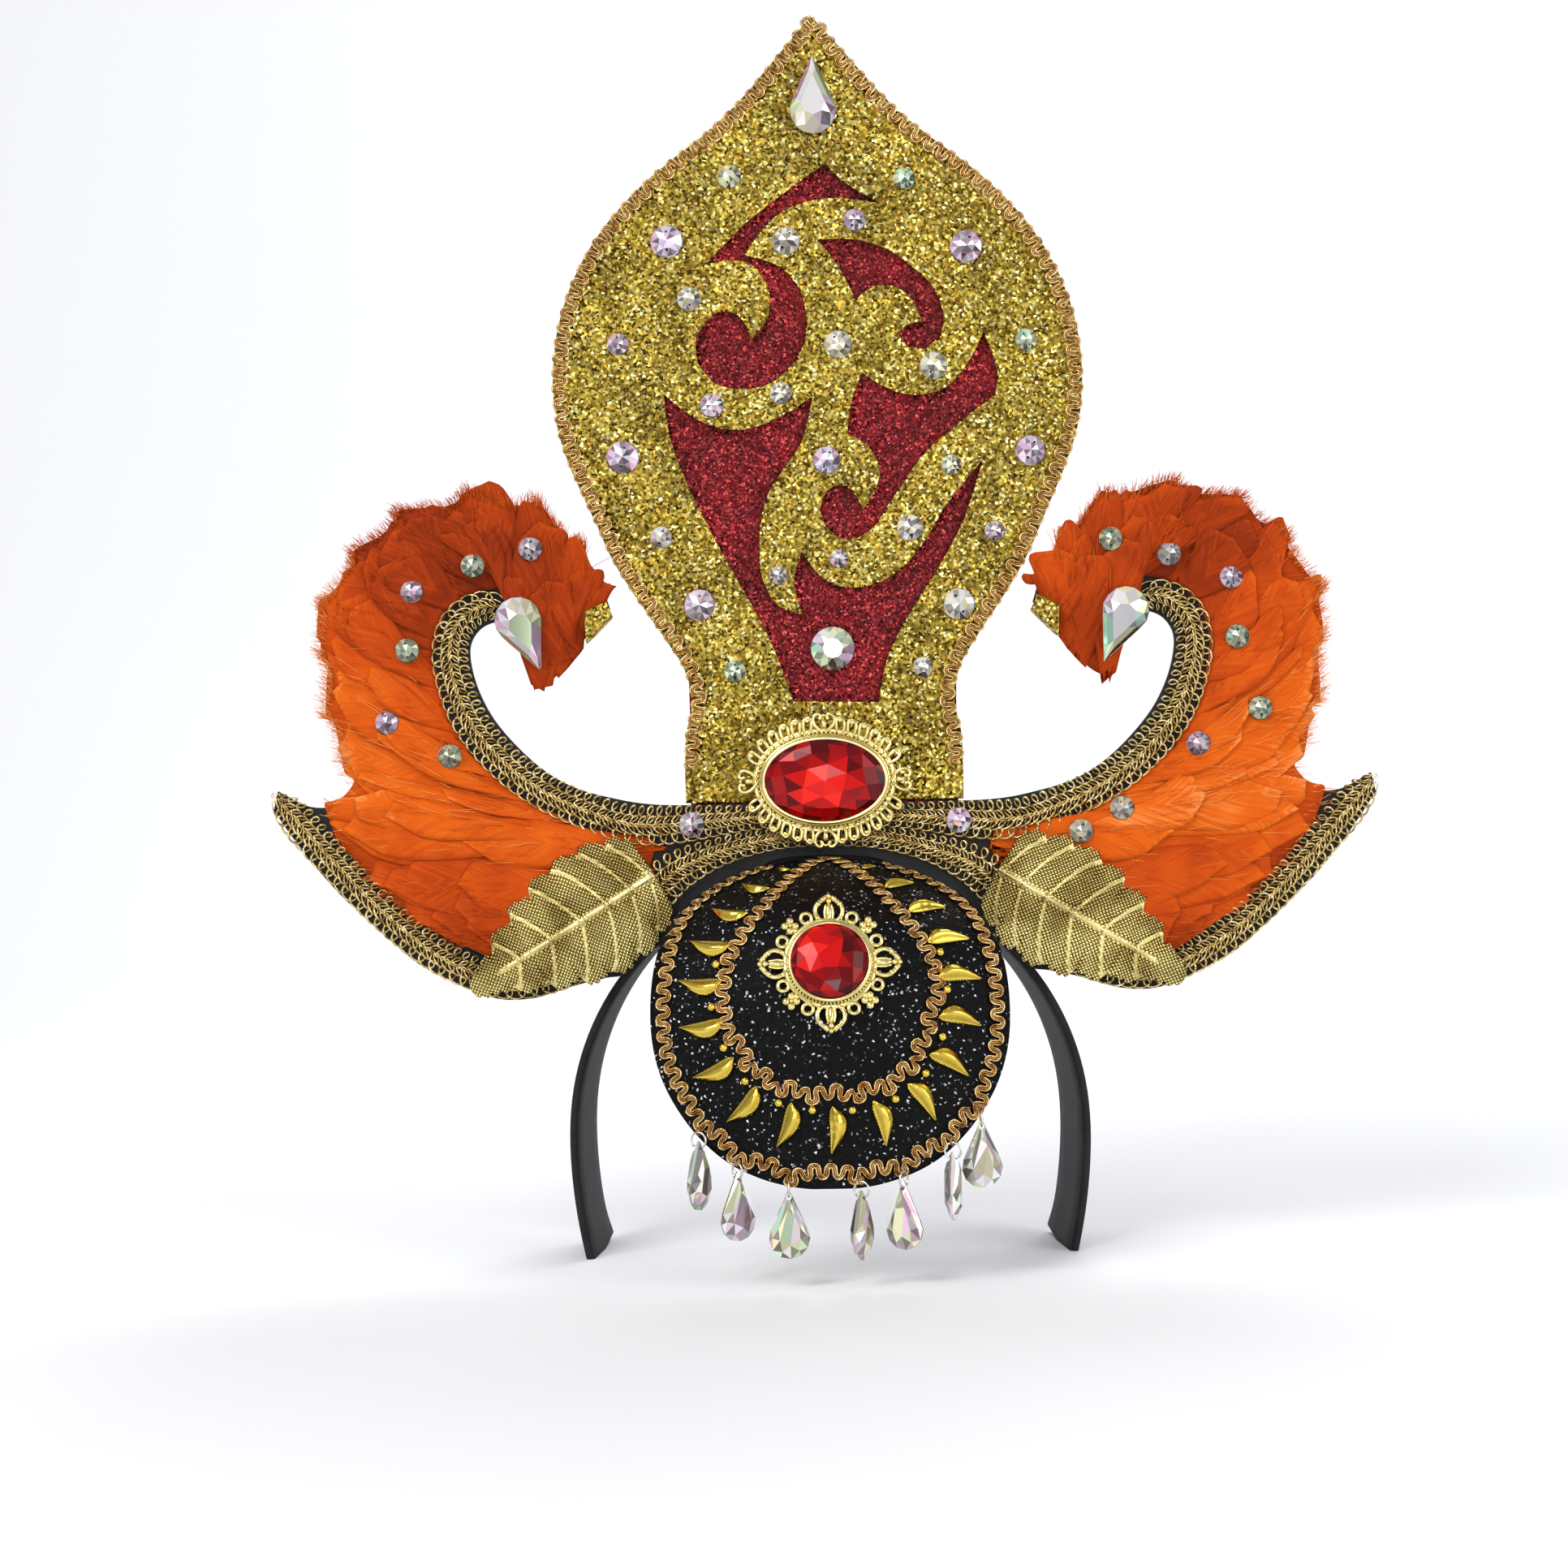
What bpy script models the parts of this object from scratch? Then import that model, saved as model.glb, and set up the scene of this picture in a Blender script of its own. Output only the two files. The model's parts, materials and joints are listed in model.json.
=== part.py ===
"""Feathered carnival crown, worn over the head on a foam band.

X is the wearer's left as seen from the front, -Y is the front and +Z is up. The origin is the
underside of the band's top, where the crown rests on the head. Lengths are in metres.
"""

import math

import bmesh
import bpy
from mathutils import Matrix, Vector

# Driving dimensions
GAP = 0.0003
BAND_RADIUS = 0.0865
BAND_LOWER_RADIUS = 0.18
BAND_LOWER_DROP = 0.046
BAND_WIDTH = 0.045
BAND_THICKNESS = 0.003
BAND_REAR_SCALE = 0.955
BAND_END_SLANT = 0.006
BAND_STEPS = 9

HALF_SPAN = 0.190
RISE = 0.2933
BOARD_THICKNESS = 0.003
BOARD_FRONT = -BAND_WIDTH / 2 - GAP - BOARD_THICKNESS
BOARD_FACE = BOARD_FRONT - GAP

PANEL_HALF_WIDTH = 0.0903
PANEL_BASE = 0.0258
PANEL_HEIGHT = RISE - PANEL_BASE
PANEL_THICKNESS = 0.002
PANEL_SETBACK = 0.001
PANEL_FRONT = BOARD_FRONT + PANEL_SETBACK
PANEL_STEPS = 28
BACKING_THICKNESS = 0.002
BACKING_BASE = 0.0120
BACKING_INSET = 0.0015

GIMP_WIDTH = 0.0056
GIMP_HEIGHT = 0.0020
GIMP_OVERHANG = 0.0004
GIMP_FOOT_GAP = 0.0015
BRAID_HEIGHT = 0.0026
CURL_STATIONS = 27
EDGE_STATIONS = 31
FEATHER_HEIGHT = 0.0042
FEATHER_STEP = 0.0026
FEATHER_SERRATION = 0.0032
FEATHER_ROOT = 0.0012
FEATHER_FRONT = BOARD_FACE - FEATHER_ROOT - FEATHER_HEIGHT
LOCK_SHARE = 0.94

PLATE_LENGTH = 0.136
PLATE_HALF_WIDTH = 0.0608
PLATE_THICKNESS = 0.003
PLATE_RADIUS = 0.115
PLATE_MARGIN = 0.0029
PLATE_TRIM_TOP = 0.935
OUTER_STATIONS = 46
INNER_STATIONS = 36
HORN_COUNT = 19
HORN_LENGTH = 0.0150
HORN_RADIUS = 0.0024
HORN_BREADTH = 1.25
HORN_SIDES = 5
HORN_SEAT = 0.9
BEAD_COUNT = 12
BEAD_RADIUS = 0.0014
BEAD_HEIGHT = 0.0018
BEAD_SIDES = 10
BEAD_OVERLAP = 0.4
BEAD_SEARCH = 8

LEAF_THICKNESS = 0.0009
LEAF_DOME = 0.0042
LEAF_SEAT = 0.70
LEAF_BACK = BOARD_FACE - FEATHER_ROOT - LEAF_SEAT * FEATHER_HEIGHT - GAP
SETTING_THICKNESS = 0.0014
BEZEL_HEIGHT = 0.0034
BEZEL_WALL = 0.0015
BEZEL_SIDES = 16
OVAL_SETTING = (0.0300, 0.0246)
OVAL_STONE = (0.0208, 0.0140)
OVAL_CENTRE = (0.0, 0.0328)
ROUND_SETTING = 0.0245
ROUND_STONE = 0.0128
ROUND_PLACE = 0.525
OVAL_PETALS = 18
ROUND_POINTS = 48
ROUND_HOLES = 12
SMALL_STONE_SIDES = 8
DROP_SIDES = 10

RING_RADIUS = 0.00265
RING_WIRE = 0.00036
RING_STEPS = 10
LOOP_RADIUS = 0.00125
LOOP_WIRE = 0.00038
LOOP_STEPS = 6
WIRE_SIDES = 5
HOOK_OFFSET = 0.0005
HOOK_SINK = 0.0002
MIN_OUTWARD = 0.05
MAX_SWAY = 0.8
DROP_LENGTH = 0.0230
DROP_WIDTH = 0.0132
DROP_DEPTH = 0.0056
DROP_HOLE = 0.0011
DROP_HOLE_SIDES = 6
DROP_HOLE_INSET = 0.0030

SIDE = Vector((1.0, 0.0, 0.0))
UP = Vector((0.0, 0.0, 1.0))
FRONT = Vector((0.0, -1.0, 0.0))
PATH_STEPS = 3

# Panel outline: share of the half width, share of the height above the panel's base
PANEL_OUTLINE = [
    (0.524, 0.000), (0.524, 0.068), (0.510, 0.107), (0.492, 0.137), (0.504, 0.158),
    (0.565, 0.196), (0.673, 0.250), (0.780, 0.308), (0.864, 0.373), (0.930, 0.422),
    (0.982, 0.476), (1.000, 0.534), (0.985, 0.595), (0.935, 0.654), (0.850, 0.710),
    (0.722, 0.765), (0.565, 0.813), (0.390, 0.858), (0.245, 0.905), (0.120, 0.955),
]

# Scroll cut-outs: share of the half width, share of the height, corner or not
CORNER = True
SMOOTH = False
SCROLL_TOP = [
    (0.04, 0.811, CORNER), (0.12, 0.786, SMOOTH), (0.24, 0.761, CORNER), (0.08, 0.768, SMOOTH),
    (-0.10, 0.756, SMOOTH), (-0.19, 0.732, SMOOTH), (-0.27, 0.697, CORNER), (-0.12, 0.677, SMOOTH),
    (-0.04, 0.621, SMOOTH), (-0.10, 0.555, SMOOTH), (-0.29, 0.527, SMOOTH), (-0.45, 0.560, SMOOTH),
    (-0.40, 0.618, SMOOTH), (-0.30, 0.622, SMOOTH), (-0.25, 0.589, CORNER), (-0.18, 0.620, SMOOTH),
    (-0.21, 0.675, SMOOTH), (-0.30, 0.691, SMOOTH), (-0.41, 0.687, CORNER), (-0.25, 0.740, SMOOTH),
]
SCROLL_COMMA = [
    (0.01, 0.715, CORNER), (0.17, 0.713, SMOOTH), (0.36, 0.680, SMOOTH), (0.48, 0.615, SMOOTH),
    (0.41, 0.574, SMOOTH), (0.31, 0.594, SMOOTH), (0.40, 0.609, CORNER), (0.34, 0.646, SMOOTH),
    (0.22, 0.655, SMOOTH), (0.15, 0.637, CORNER), (0.09, 0.680, SMOOTH),
]
SCROLL_HOOK = [
    (0.63, 0.593, CORNER), (0.68, 0.540, SMOOTH), (0.67, 0.514, CORNER), (0.52, 0.476, SMOOTH),
    (0.38, 0.434, SMOOTH), (0.26, 0.376, SMOOTH), (0.14, 0.334, SMOOTH), (0.03, 0.348, SMOOTH),
    (0.02, 0.390, SMOOTH), (0.10, 0.401, SMOOTH), (0.16, 0.369, CORNER), (0.23, 0.412, SMOOTH),
    (0.19, 0.450, SMOOTH), (0.11, 0.468, CORNER), (0.13, 0.510, SMOOTH), (0.17, 0.544, CORNER),
    (0.32, 0.517, SMOOTH), (0.50, 0.528, SMOOTH),
]
SCROLL_HEART = [
    (-0.58, 0.521, CORNER), (-0.42, 0.482, SMOOTH), (-0.24, 0.477, SMOOTH), (-0.02, 0.515, CORNER),
    (-0.07, 0.455, SMOOTH), (-0.19, 0.395, SMOOTH), (-0.23, 0.325, SMOOTH), (-0.18, 0.255, SMOOTH),
    (-0.07, 0.237, CORNER), (-0.10, 0.280, SMOOTH), (-0.07, 0.318, CORNER), (0.01, 0.283, SMOOTH),
    (0.15, 0.271, SMOOTH), (0.33, 0.302, SMOOTH), (0.47, 0.370, SMOOTH), (0.62, 0.432, CORNER),
    (0.52, 0.340, SMOOTH), (0.37, 0.257, SMOOTH), (0.25, 0.185, SMOOTH), (0.21, 0.125, CORNER),
    (-0.11, 0.128, CORNER), (-0.20, 0.210, SMOOTH), (-0.35, 0.306, SMOOTH), (-0.50, 0.410, SMOOTH),
    (-0.56, 0.470, SMOOTH),
]

# Sew-on stones of the panel: share of the half width, share of the height, diameter
PANEL_STONES = [
    (-0.32, 0.797, 0.0083), (0.34, 0.791, 0.0077), (-0.56, 0.716, 0.0112), (0.57, 0.703, 0.0112),
    (-0.11, 0.714, 0.0096), (0.15, 0.739, 0.0077), (-0.48, 0.642, 0.0083), (-0.75, 0.586, 0.0077),
    (0.79, 0.583, 0.0077), (0.08, 0.581, 0.0096), (0.44, 0.552, 0.0096), (-0.40, 0.506, 0.0083),
    (-0.14, 0.520, 0.0077), (-0.74, 0.442, 0.0112), (0.80, 0.442, 0.0104), (0.03, 0.434, 0.0096),
    (0.50, 0.425, 0.0072), (-0.60, 0.339, 0.0077), (0.66, 0.340, 0.0072), (0.34, 0.346, 0.0092),
    (0.07, 0.308, 0.0066), (-0.16, 0.288, 0.0066), (-0.46, 0.252, 0.0108), (0.52, 0.248, 0.0108),
    (-0.33, 0.167, 0.0077), (0.38, 0.168, 0.0072),
]
PANEL_STONE = (0.04, 0.194, 0.0150)

# Board, right half from the top of the cross piece round the wing to the arch:
# share of the half span, share of the rise
BOARD_OUTLINE = [
    (0.000, 0.086), (0.150, 0.086), (0.300, 0.087), (0.390, 0.097), (0.453, 0.110),
    (0.502, 0.129), (0.548, 0.156), (0.589, 0.188), (0.615, 0.220), (0.629, 0.251),
    (0.630, 0.276), (0.613, 0.294), (0.587, 0.302), (0.563, 0.300), (0.542, 0.273),
    (0.511, 0.234), (0.482, 0.242), (0.458, 0.263), (0.432, 0.280), (0.421, 0.303),
    (0.379, 0.315), (0.400, 0.355), (0.437, 0.385), (0.474, 0.412), (0.516, 0.430),
    (0.579, 0.435), (0.642, 0.436), (0.695, 0.431), (0.745, 0.417), (0.787, 0.395),
    (0.824, 0.370), (0.855, 0.342), (0.879, 0.315), (0.884, 0.286), (0.876, 0.257),
    (0.866, 0.220), (0.847, 0.187), (0.821, 0.153), (0.804, 0.120), (0.826, 0.095),
    (0.874, 0.091), (0.926, 0.092), (0.980, 0.110), (0.988, 0.088), (0.956, 0.057),
    (0.918, 0.024), (0.870, -0.012), (0.822, -0.042), (0.780, -0.067), (0.731, -0.094),
    (0.679, -0.112), (0.637, -0.125), (0.584, -0.136), (0.526, -0.135), (0.479, -0.126),
    (0.432, -0.118), (0.395, -0.113), (0.363, -0.109), (0.326, -0.0870), (0.295, -0.0735),
    (0.279, -0.0560), (0.266, -0.0440), (0.253, -0.0355), (0.211, -0.0185), (0.153, -0.0017),
    (0.121, 0.0085), (0.089, 0.0205), (0.000, 0.0245),
]

# Braid along the curl: share of the half span, share of the rise, half width
CURL_BRAID = [
    (0.006, 0.0735, 0.0032), (0.084, 0.0715, 0.0038), (0.158, 0.0690, 0.0045), (0.237, 0.0650, 0.0060),
    (0.305, 0.0625, 0.0066), (0.363, 0.0665, 0.0064), (0.426, 0.0810, 0.0062), (0.490, 0.0995, 0.0061),
    (0.545, 0.1235, 0.0061), (0.592, 0.1520, 0.0061), (0.633, 0.1880, 0.0061), (0.657, 0.2270, 0.0061),
    (0.667, 0.2620, 0.0061), (0.659, 0.2930, 0.0060), (0.634, 0.3125, 0.0057), (0.598, 0.3215, 0.0050),
    (0.568, 0.3190, 0.0040),
]

# Braid along the lower edge: share of the half span, share of the rise, half width
EDGE_BRAID = [
    (0.006, 0.0480, 0.0034), (0.084, 0.0455, 0.0036), (0.153, 0.0380, 0.0043), (0.211, 0.0265, 0.0052),
    (0.253, 0.0145, 0.0066), (0.290, -0.0015, 0.0074), (0.326, -0.0320, 0.0068), (0.368, -0.0665, 0.0058),
    (0.421, -0.0900, 0.0058), (0.479, -0.1055, 0.0058), (0.526, -0.1135, 0.0058), (0.579, -0.1150, 0.0058),
    (0.629, -0.1050, 0.0058), (0.674, -0.0920, 0.0058), (0.718, -0.0740, 0.0058), (0.763, -0.0495, 0.0058),
    (0.805, -0.0245, 0.0058), (0.850, 0.0060, 0.0058), (0.893, 0.0370, 0.0058), (0.924, 0.0600, 0.0062),
    (0.950, 0.0800, 0.0060), (0.971, 0.0955, 0.0044), (0.989, 0.1075, 0.0014),
]

# Feather rows from the curl's end to the root: inner and outer end of each row,
# as shares of the half span and of the rise
FEATHER_ROWS = [
    (0.516, 0.240, 0.476, 0.248), (0.529, 0.259, 0.434, 0.281), (0.542, 0.281, 0.379, 0.315),
    (0.545, 0.308, 0.400, 0.355), (0.550, 0.339, 0.437, 0.389), (0.571, 0.347, 0.516, 0.437),
    (0.610, 0.346, 0.642, 0.443), (0.657, 0.334, 0.753, 0.423), (0.692, 0.308, 0.832, 0.375),
    (0.705, 0.273, 0.889, 0.317), (0.700, 0.232, 0.887, 0.256), (0.680, 0.188, 0.858, 0.184),
    (0.640, 0.147, 0.818, 0.119), (0.622, 0.136, 0.843, 0.097), (0.606, 0.126, 0.879, 0.093),
    (0.590, 0.117, 0.856, 0.052), (0.570, 0.106, 0.789, -0.003),
    (0.523, 0.087, 0.716, -0.048), (0.466, 0.067, 0.620, -0.081), (0.413, 0.053, 0.526, -0.090),
    (0.366, 0.043, 0.442, -0.070), (0.337, 0.040, 0.368, -0.036),
]

# Rows whose outer ends are free, before those that meet the lower braid
FREE_LOCKS = 12

# Stones sewn on the feathers: share of the half span, share of the rise
WING_STONES = [
    (0.518, 0.385), (0.621, 0.367), (0.732, 0.339), (0.741, 0.270), (0.779, 0.187), (0.668, 0.147),
]
ROOT_STONES = [(0.530, 0.074), (0.456, 0.048)]
WING_STONE_DIAMETER = 0.0083
CROSS_STONE = (0.239, 0.063, 0.0088)
CURL_STONE = (0.529, 0.285)
CURL_STONE_TURN = math.radians(24)
STONE_LENGTH = 0.0272
STONE_WIDTH = 0.0158
STONE_DEPTH = 0.0048
TIP_STONE_PLACE = 0.899

# Leaf along its midrib: share of the length, upper and lower half width as shares of the length
LEAF_ROOT = (0.305, 0.006)
LEAF_LENGTH = 0.0735
LEAF_FALL = math.radians(-31.5)
LEAF_ROWS = [
    (0.00, 0.060, 0.070), (0.02, 0.190, 0.170), (0.09, 0.250, 0.235), (0.13, 0.235, 0.225),
    (0.20, 0.290, 0.285), (0.26, 0.268, 0.262), (0.34, 0.300, 0.300), (0.40, 0.262, 0.262),
    (0.49, 0.282, 0.272), (0.54, 0.228, 0.215), (0.63, 0.236, 0.212), (0.68, 0.172, 0.150),
    (0.77, 0.168, 0.140), (0.82, 0.100, 0.085), (0.91, 0.070, 0.060), (1.00, 0.006, 0.006),
]

# Plate: share of the length from its lower edge, tilt back from upright in degrees
PLATE_BEND = [
    (0.00, 2), (0.30, 4), (0.42, 10), (0.52, 20), (0.60, 34), (0.68, 52), (0.76, 64), (0.88, 72), (1.00, 90),
]
# Plate: share of the length, share of the half width
PLATE_OUTLINE = [
    (0.000, 0.14), (0.010, 0.28), (0.030, 0.42), (0.060, 0.56), (0.105, 0.685), (0.165, 0.81),
    (0.250, 0.93), (0.340, 0.99), (0.430, 1.00), (0.520, 0.99), (0.600, 0.965), (0.670, 0.935),
    (0.735, 0.895), (0.800, 0.83), (0.860, 0.725), (0.910, 0.575), (0.950, 0.395), (0.980, 0.21),
    (1.000, 0.07),
]
# Inner braid of the plate, right half from top to bottom: share of the half width, of the length
INNER_GIMP = [
    (0.000, 0.955), (0.130, 0.870), (0.260, 0.770), (0.380, 0.665), (0.465, 0.580), (0.505, 0.500),
    (0.510, 0.420), (0.465, 0.340), (0.375, 0.280), (0.235, 0.242), (0.080, 0.229),
]
# Row of horns, right half from top to bottom: share of the half width, of the length, horn scale
HORN_ROW = [
    (0.228, 0.888, 0.38), (0.325, 0.840, 0.64), (0.420, 0.780, 0.85), (0.515, 0.720, 0.95),
    (0.600, 0.655, 1.00), (0.675, 0.560, 1.00), (0.700, 0.460, 1.00), (0.680, 0.370, 1.00),
    (0.610, 0.275, 1.00), (0.500, 0.212, 1.00), (0.350, 0.168, 1.00), (0.180, 0.145, 1.00),
    (0.000, 0.138, 1.00),
]
# Drops along the plate's lower edge: across in metres, turn of the drop in degrees
DROPS = [(-0.043, 84), (-0.029, 50), (-0.013, 8), (0.006, 60), (0.023, -42), (0.038, 62), (0.047, -22)]

# Cross-sections of the braids: across as a share of the half width, height as a share
GIMP_SECTION = [(-1.0, 0.0), (-0.82, 1.0), (0.82, 1.0), (1.0, 0.0)]
BRAID_SECTION = [(-1.0, 0.0), (-0.8, 1.0), (0.0, 0.7), (0.8, 1.0), (1.0, 0.0)]
# Columns across the plate, as shares of its half width
PLATE_COLUMNS = (-1.0, -0.66, -0.33, 0.0, 0.33, 0.66, 1.0)
# Columns along a feather lock: share of its length, share of its thickness
FEATHER_COLUMNS = [(0.0, 0.35), (0.35, 1.0), (0.82, 0.75), (1.0, 0.2)]
# Leaf across one half: share of the half width, share of the dome
LEAF_COLUMNS = [(1.0, 0.0), (0.5, 0.75)]
# One horn: share of its length, sideways bend and thickness
HORN_ROWS = [(-0.50, 0.00, 0.60), (-0.26, 0.07, 1.00), (0.12, 0.10, 0.75), (0.50, -0.04, 0.12)]
# Cut of each kind of stone: scale of its outline, height above its seat
SMALL_STONE_CUT = [(1.06, -0.0005), (0.50, 0.0030)]
LARGE_STONE_CUT = [(0.90, 0.0), (1.0, 0.0014), (0.62, STONE_DEPTH)]
OVAL_STONE_CUT = [(0.86, SETTING_THICKNESS + GAP), (0.975, 0.0026), (0.98, 0.0040), (0.60, 0.0078)]
ROUND_STONE_CUT = [(0.86, SETTING_THICKNESS + GAP), (0.975, 0.0026), (0.98, 0.0040), (0.58, 0.0070)]
DROP_CUT = [(0.60, -DROP_DEPTH / 2), (1.0, 0.0), (0.60, DROP_DEPTH / 2)]
BEAD_CUT = [(1.0, 0.0), (0.55, BEAD_HEIGHT)]
# Openings in the settings: inner end, outer end and half width, as shares of the setting
OVAL_HOLE = (0.82, 0.90, 0.036)
ROUND_HOLE = (0.64, 0.78, 0.053)
# Rim round a set stone: scale of its outline, height above the setting's back
BEZEL_CUT = [(1.0, 0.0), (1.0, BEZEL_HEIGHT), (0.93, BEZEL_HEIGHT), (0.90, SETTING_THICKNESS)]

FINISHES = {
    "black_foam": ((0.012, 0.012, 0.013), 0.0, 0.7),
    "black_glitter": ((0.010, 0.010, 0.012), 0.2, 0.4),
    "gold_glitter": ((0.46, 0.33, 0.08), 0.8, 0.4),
    "red_glitter": ((0.42, 0.02, 0.02), 0.5, 0.4),
    "gold_braid": ((0.42, 0.27, 0.08), 0.8, 0.4),
    "copper_braid": ((0.46, 0.26, 0.10), 0.8, 0.4),
    "orange_feather": ((0.72, 0.16, 0.01), 0.0, 0.7),
    "gold_metal": ((0.80, 0.58, 0.20), 1.0, 0.25),
    "silver_wire": ((0.70, 0.70, 0.70), 1.0, 0.25),
    "red_stone": ((0.45, 0.01, 0.02), 0.0, 0.05),
    "rainbow_stone": ((0.80, 0.62, 0.74), 0.2, 0.05),
}


def clear_scene():
    for obj in list(bpy.data.objects):
        bpy.data.objects.remove(obj, do_unlink=True)


def apply_finish(obj, finish):
    colour, metallic, roughness = FINISHES[finish]
    material = bpy.data.materials.new(f"{obj.name}_{finish}")
    material.use_nodes = True
    shader = material.node_tree.nodes["Principled BSDF"]
    shader.inputs["Base Color"].default_value = (*colour, 1.0)
    shader.inputs["Metallic"].default_value = metallic
    shader.inputs["Roughness"].default_value = roughness
    obj.data.materials.clear()
    obj.data.materials.append(material)


def add_object(name, mesh, finish):
    obj = bpy.data.objects.new(name, mesh)
    bpy.context.scene.collection.objects.link(obj)
    apply_finish(obj, finish)
    return obj


def loft_mesh(name, rings, closed=False, smooth=False):
    """Joins rings of equal point counts with quads, and caps the two ends unless closed."""
    bm = bmesh.new()
    rows = [[bm.verts.new(point) for point in ring] for ring in rings]
    count = len(rows[0])
    pairs = list(zip(rows, rows[1:]))
    if closed:
        pairs.append((rows[-1], rows[0]))
    else:
        bm.faces.new(rows[0])
        bm.faces.new(rows[-1])
    for low, high in pairs:
        for i in range(count):
            j = (i + 1) % count
            bm.faces.new((low[i], low[j], high[j], high[i]))
    bmesh.ops.recalc_face_normals(bm, faces=bm.faces)
    mesh = bpy.data.meshes.new(name)
    bm.to_mesh(mesh)
    bm.free()
    if smooth:
        mesh.shade_smooth()
    return mesh


def evaluated_copy(obj):
    """The object's evaluated shape as a new mesh in world space; the object is removed."""
    bpy.context.view_layer.update()
    graph = bpy.context.evaluated_depsgraph_get()
    mesh = bpy.data.meshes.new_from_object(obj.evaluated_get(graph))
    mesh.transform(obj.matrix_world)
    bpy.data.objects.remove(obj, do_unlink=True)
    return mesh


def weld(mesh):
    bm = bmesh.new()
    bm.from_mesh(mesh)
    bmesh.ops.remove_doubles(bm, verts=bm.verts, dist=0.000001)
    bmesh.ops.recalc_face_normals(bm, faces=bm.faces)
    bm.to_mesh(mesh)
    bm.free()
    return mesh


def join_meshes(meshes):
    bm = bmesh.new()
    for mesh in meshes:
        bm.from_mesh(mesh)
    joined = bpy.data.meshes.new("joined")
    bm.to_mesh(joined)
    bm.free()
    return joined


def combine(base, tool, operation):
    """The two meshes after an exact Boolean."""
    body = bpy.data.objects.new("body", base)
    cutter = bpy.data.objects.new("cutter", tool)
    for obj in (body, cutter):
        bpy.context.scene.collection.objects.link(obj)
    boolean = body.modifiers.new("Boolean", "BOOLEAN")
    boolean.operation = operation
    boolean.solver = "EXACT"
    boolean.object = cutter
    mesh = evaluated_copy(body)
    bpy.data.objects.remove(cutter, do_unlink=True)
    return mesh


def slab_mesh(name, loops, front, thickness, resolution=3):
    """A flat sheet in the XZ plane, cut out of smooth closed loops of (x, z, corner)."""
    curve = bpy.data.curves.new(name, "CURVE")
    curve.dimensions = "2D"
    curve.fill_mode = "BOTH"
    curve.extrude = thickness / 2
    curve.resolution_u = resolution
    for loop in loops:
        spline = curve.splines.new("BEZIER")
        spline.bezier_points.add(len(loop) - 1)
        spline.use_cyclic_u = True
        for point, (x, z, corner) in zip(spline.bezier_points, loop):
            point.co = (x, z, 0.0)
            kind = "VECTOR" if corner else "AUTO"
            point.handle_left_type = kind
            point.handle_right_type = kind
    obj = bpy.data.objects.new(name, curve)
    obj.rotation_euler = (math.pi / 2, 0.0, 0.0)
    obj.location = (0.0, front + thickness / 2, 0.0)
    bpy.context.scene.collection.objects.link(obj)
    return weld(evaluated_copy(obj))


def smooth_path(points, steps, closed=False):
    """Catmull-Rom points through the given vectors, steps to each span."""
    count = len(points)
    spans = count if closed else count - 1
    path = []
    for i in range(spans):
        if closed:
            a, b, c, d = (points[(i + k) % count] for k in (-1, 0, 1, 2))
        else:
            a = points[max(i - 1, 0)]
            b, c = points[i], points[i + 1]
            d = points[min(i + 2, count - 1)]
        for step in range(steps):
            t = step / steps
            path.append(0.5 * (2 * b + (c - a) * t + (2 * a - 5 * b + 4 * c - d) * t ** 2
                               + (3 * b - a - 3 * c + d) * t ** 3))
    if not closed:
        path.append(points[-1])
    return path


def path_sides(path, closed=False):
    """Unit vectors to the left of a flat path, in its own plane."""
    sides = []
    count = len(path)
    for i in range(count):
        before = path[i - 1] if closed or i > 0 else path[i]
        after = path[(i + 1) % count] if closed or i < count - 1 else path[i]
        ahead = (after - before).normalized()
        sides.append(Vector((-ahead.y, ahead.x)))
    return sides


def even_path(path, count):
    """Points at equal distances along a flat path, count of them with both ends."""
    lengths = [0.0]
    for a, b in zip(path, path[1:]):
        lengths.append(lengths[-1] + (b - a).xy.length)
    places = []
    for k in range(count):
        wanted = lengths[-1] * k / (count - 1)
        i = max(j for j in range(len(path) - 1) if lengths[j] <= wanted)
        share = (wanted - lengths[i]) / (lengths[i + 1] - lengths[i])
        places.append(path[i].lerp(path[i + 1], share))
    return places


def flat_band(name, path, half_widths, back, height, section, closed=False):
    """A raised band along a path in the XZ plane, its back at the given y."""
    rings = []
    for point, side, half in zip(path, path_sides(path, closed), half_widths):
        ring = []
        for across, up in section:
            place = point + side * across * half
            ring.append(Vector((place.x, back - up * height, place.y)))
        rings.append(ring)
    return loft_mesh(name, rings, closed, smooth=True)


def mirror_rows(rows):
    """The rows of a right half, followed by their mirror images back to the start."""
    return rows + [(-row[0], *row[1:]) for row in reversed(rows) if row[0] > 0.0]


def stone_rings(centre, outline, side, up, normal, levels):
    """Rings of one outline, at the given (scale, height) levels over a centre."""
    rings = []
    for scale, height in levels:
        ring = [centre + normal * height + (side * x + up * z) * scale for x, z in outline]
        rings.append(ring)
    return rings


def round_outline(radius, sides, second_radius=None):
    second = radius if second_radius is None else second_radius
    angles = [math.tau * (i + 0.5) / sides for i in range(sides)]
    return [(radius * math.cos(a), second * math.sin(a)) for a in angles]


def teardrop_outline(length, width, sides=DROP_SIDES):
    """A drop with its point up, centred on its own box."""
    radius = width / 2
    foot = -length / 2 + radius
    apex = length / 2
    tangent = math.asin(radius / (apex - foot))
    turn = math.pi + 2 * tangent
    outline = [(0.0, apex)]
    for i in range(sides - 1):
        a = math.pi - tangent + turn * i / (sides - 2)
        outline.append((radius * math.cos(a), foot + radius * math.sin(a)))
    return outline


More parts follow.
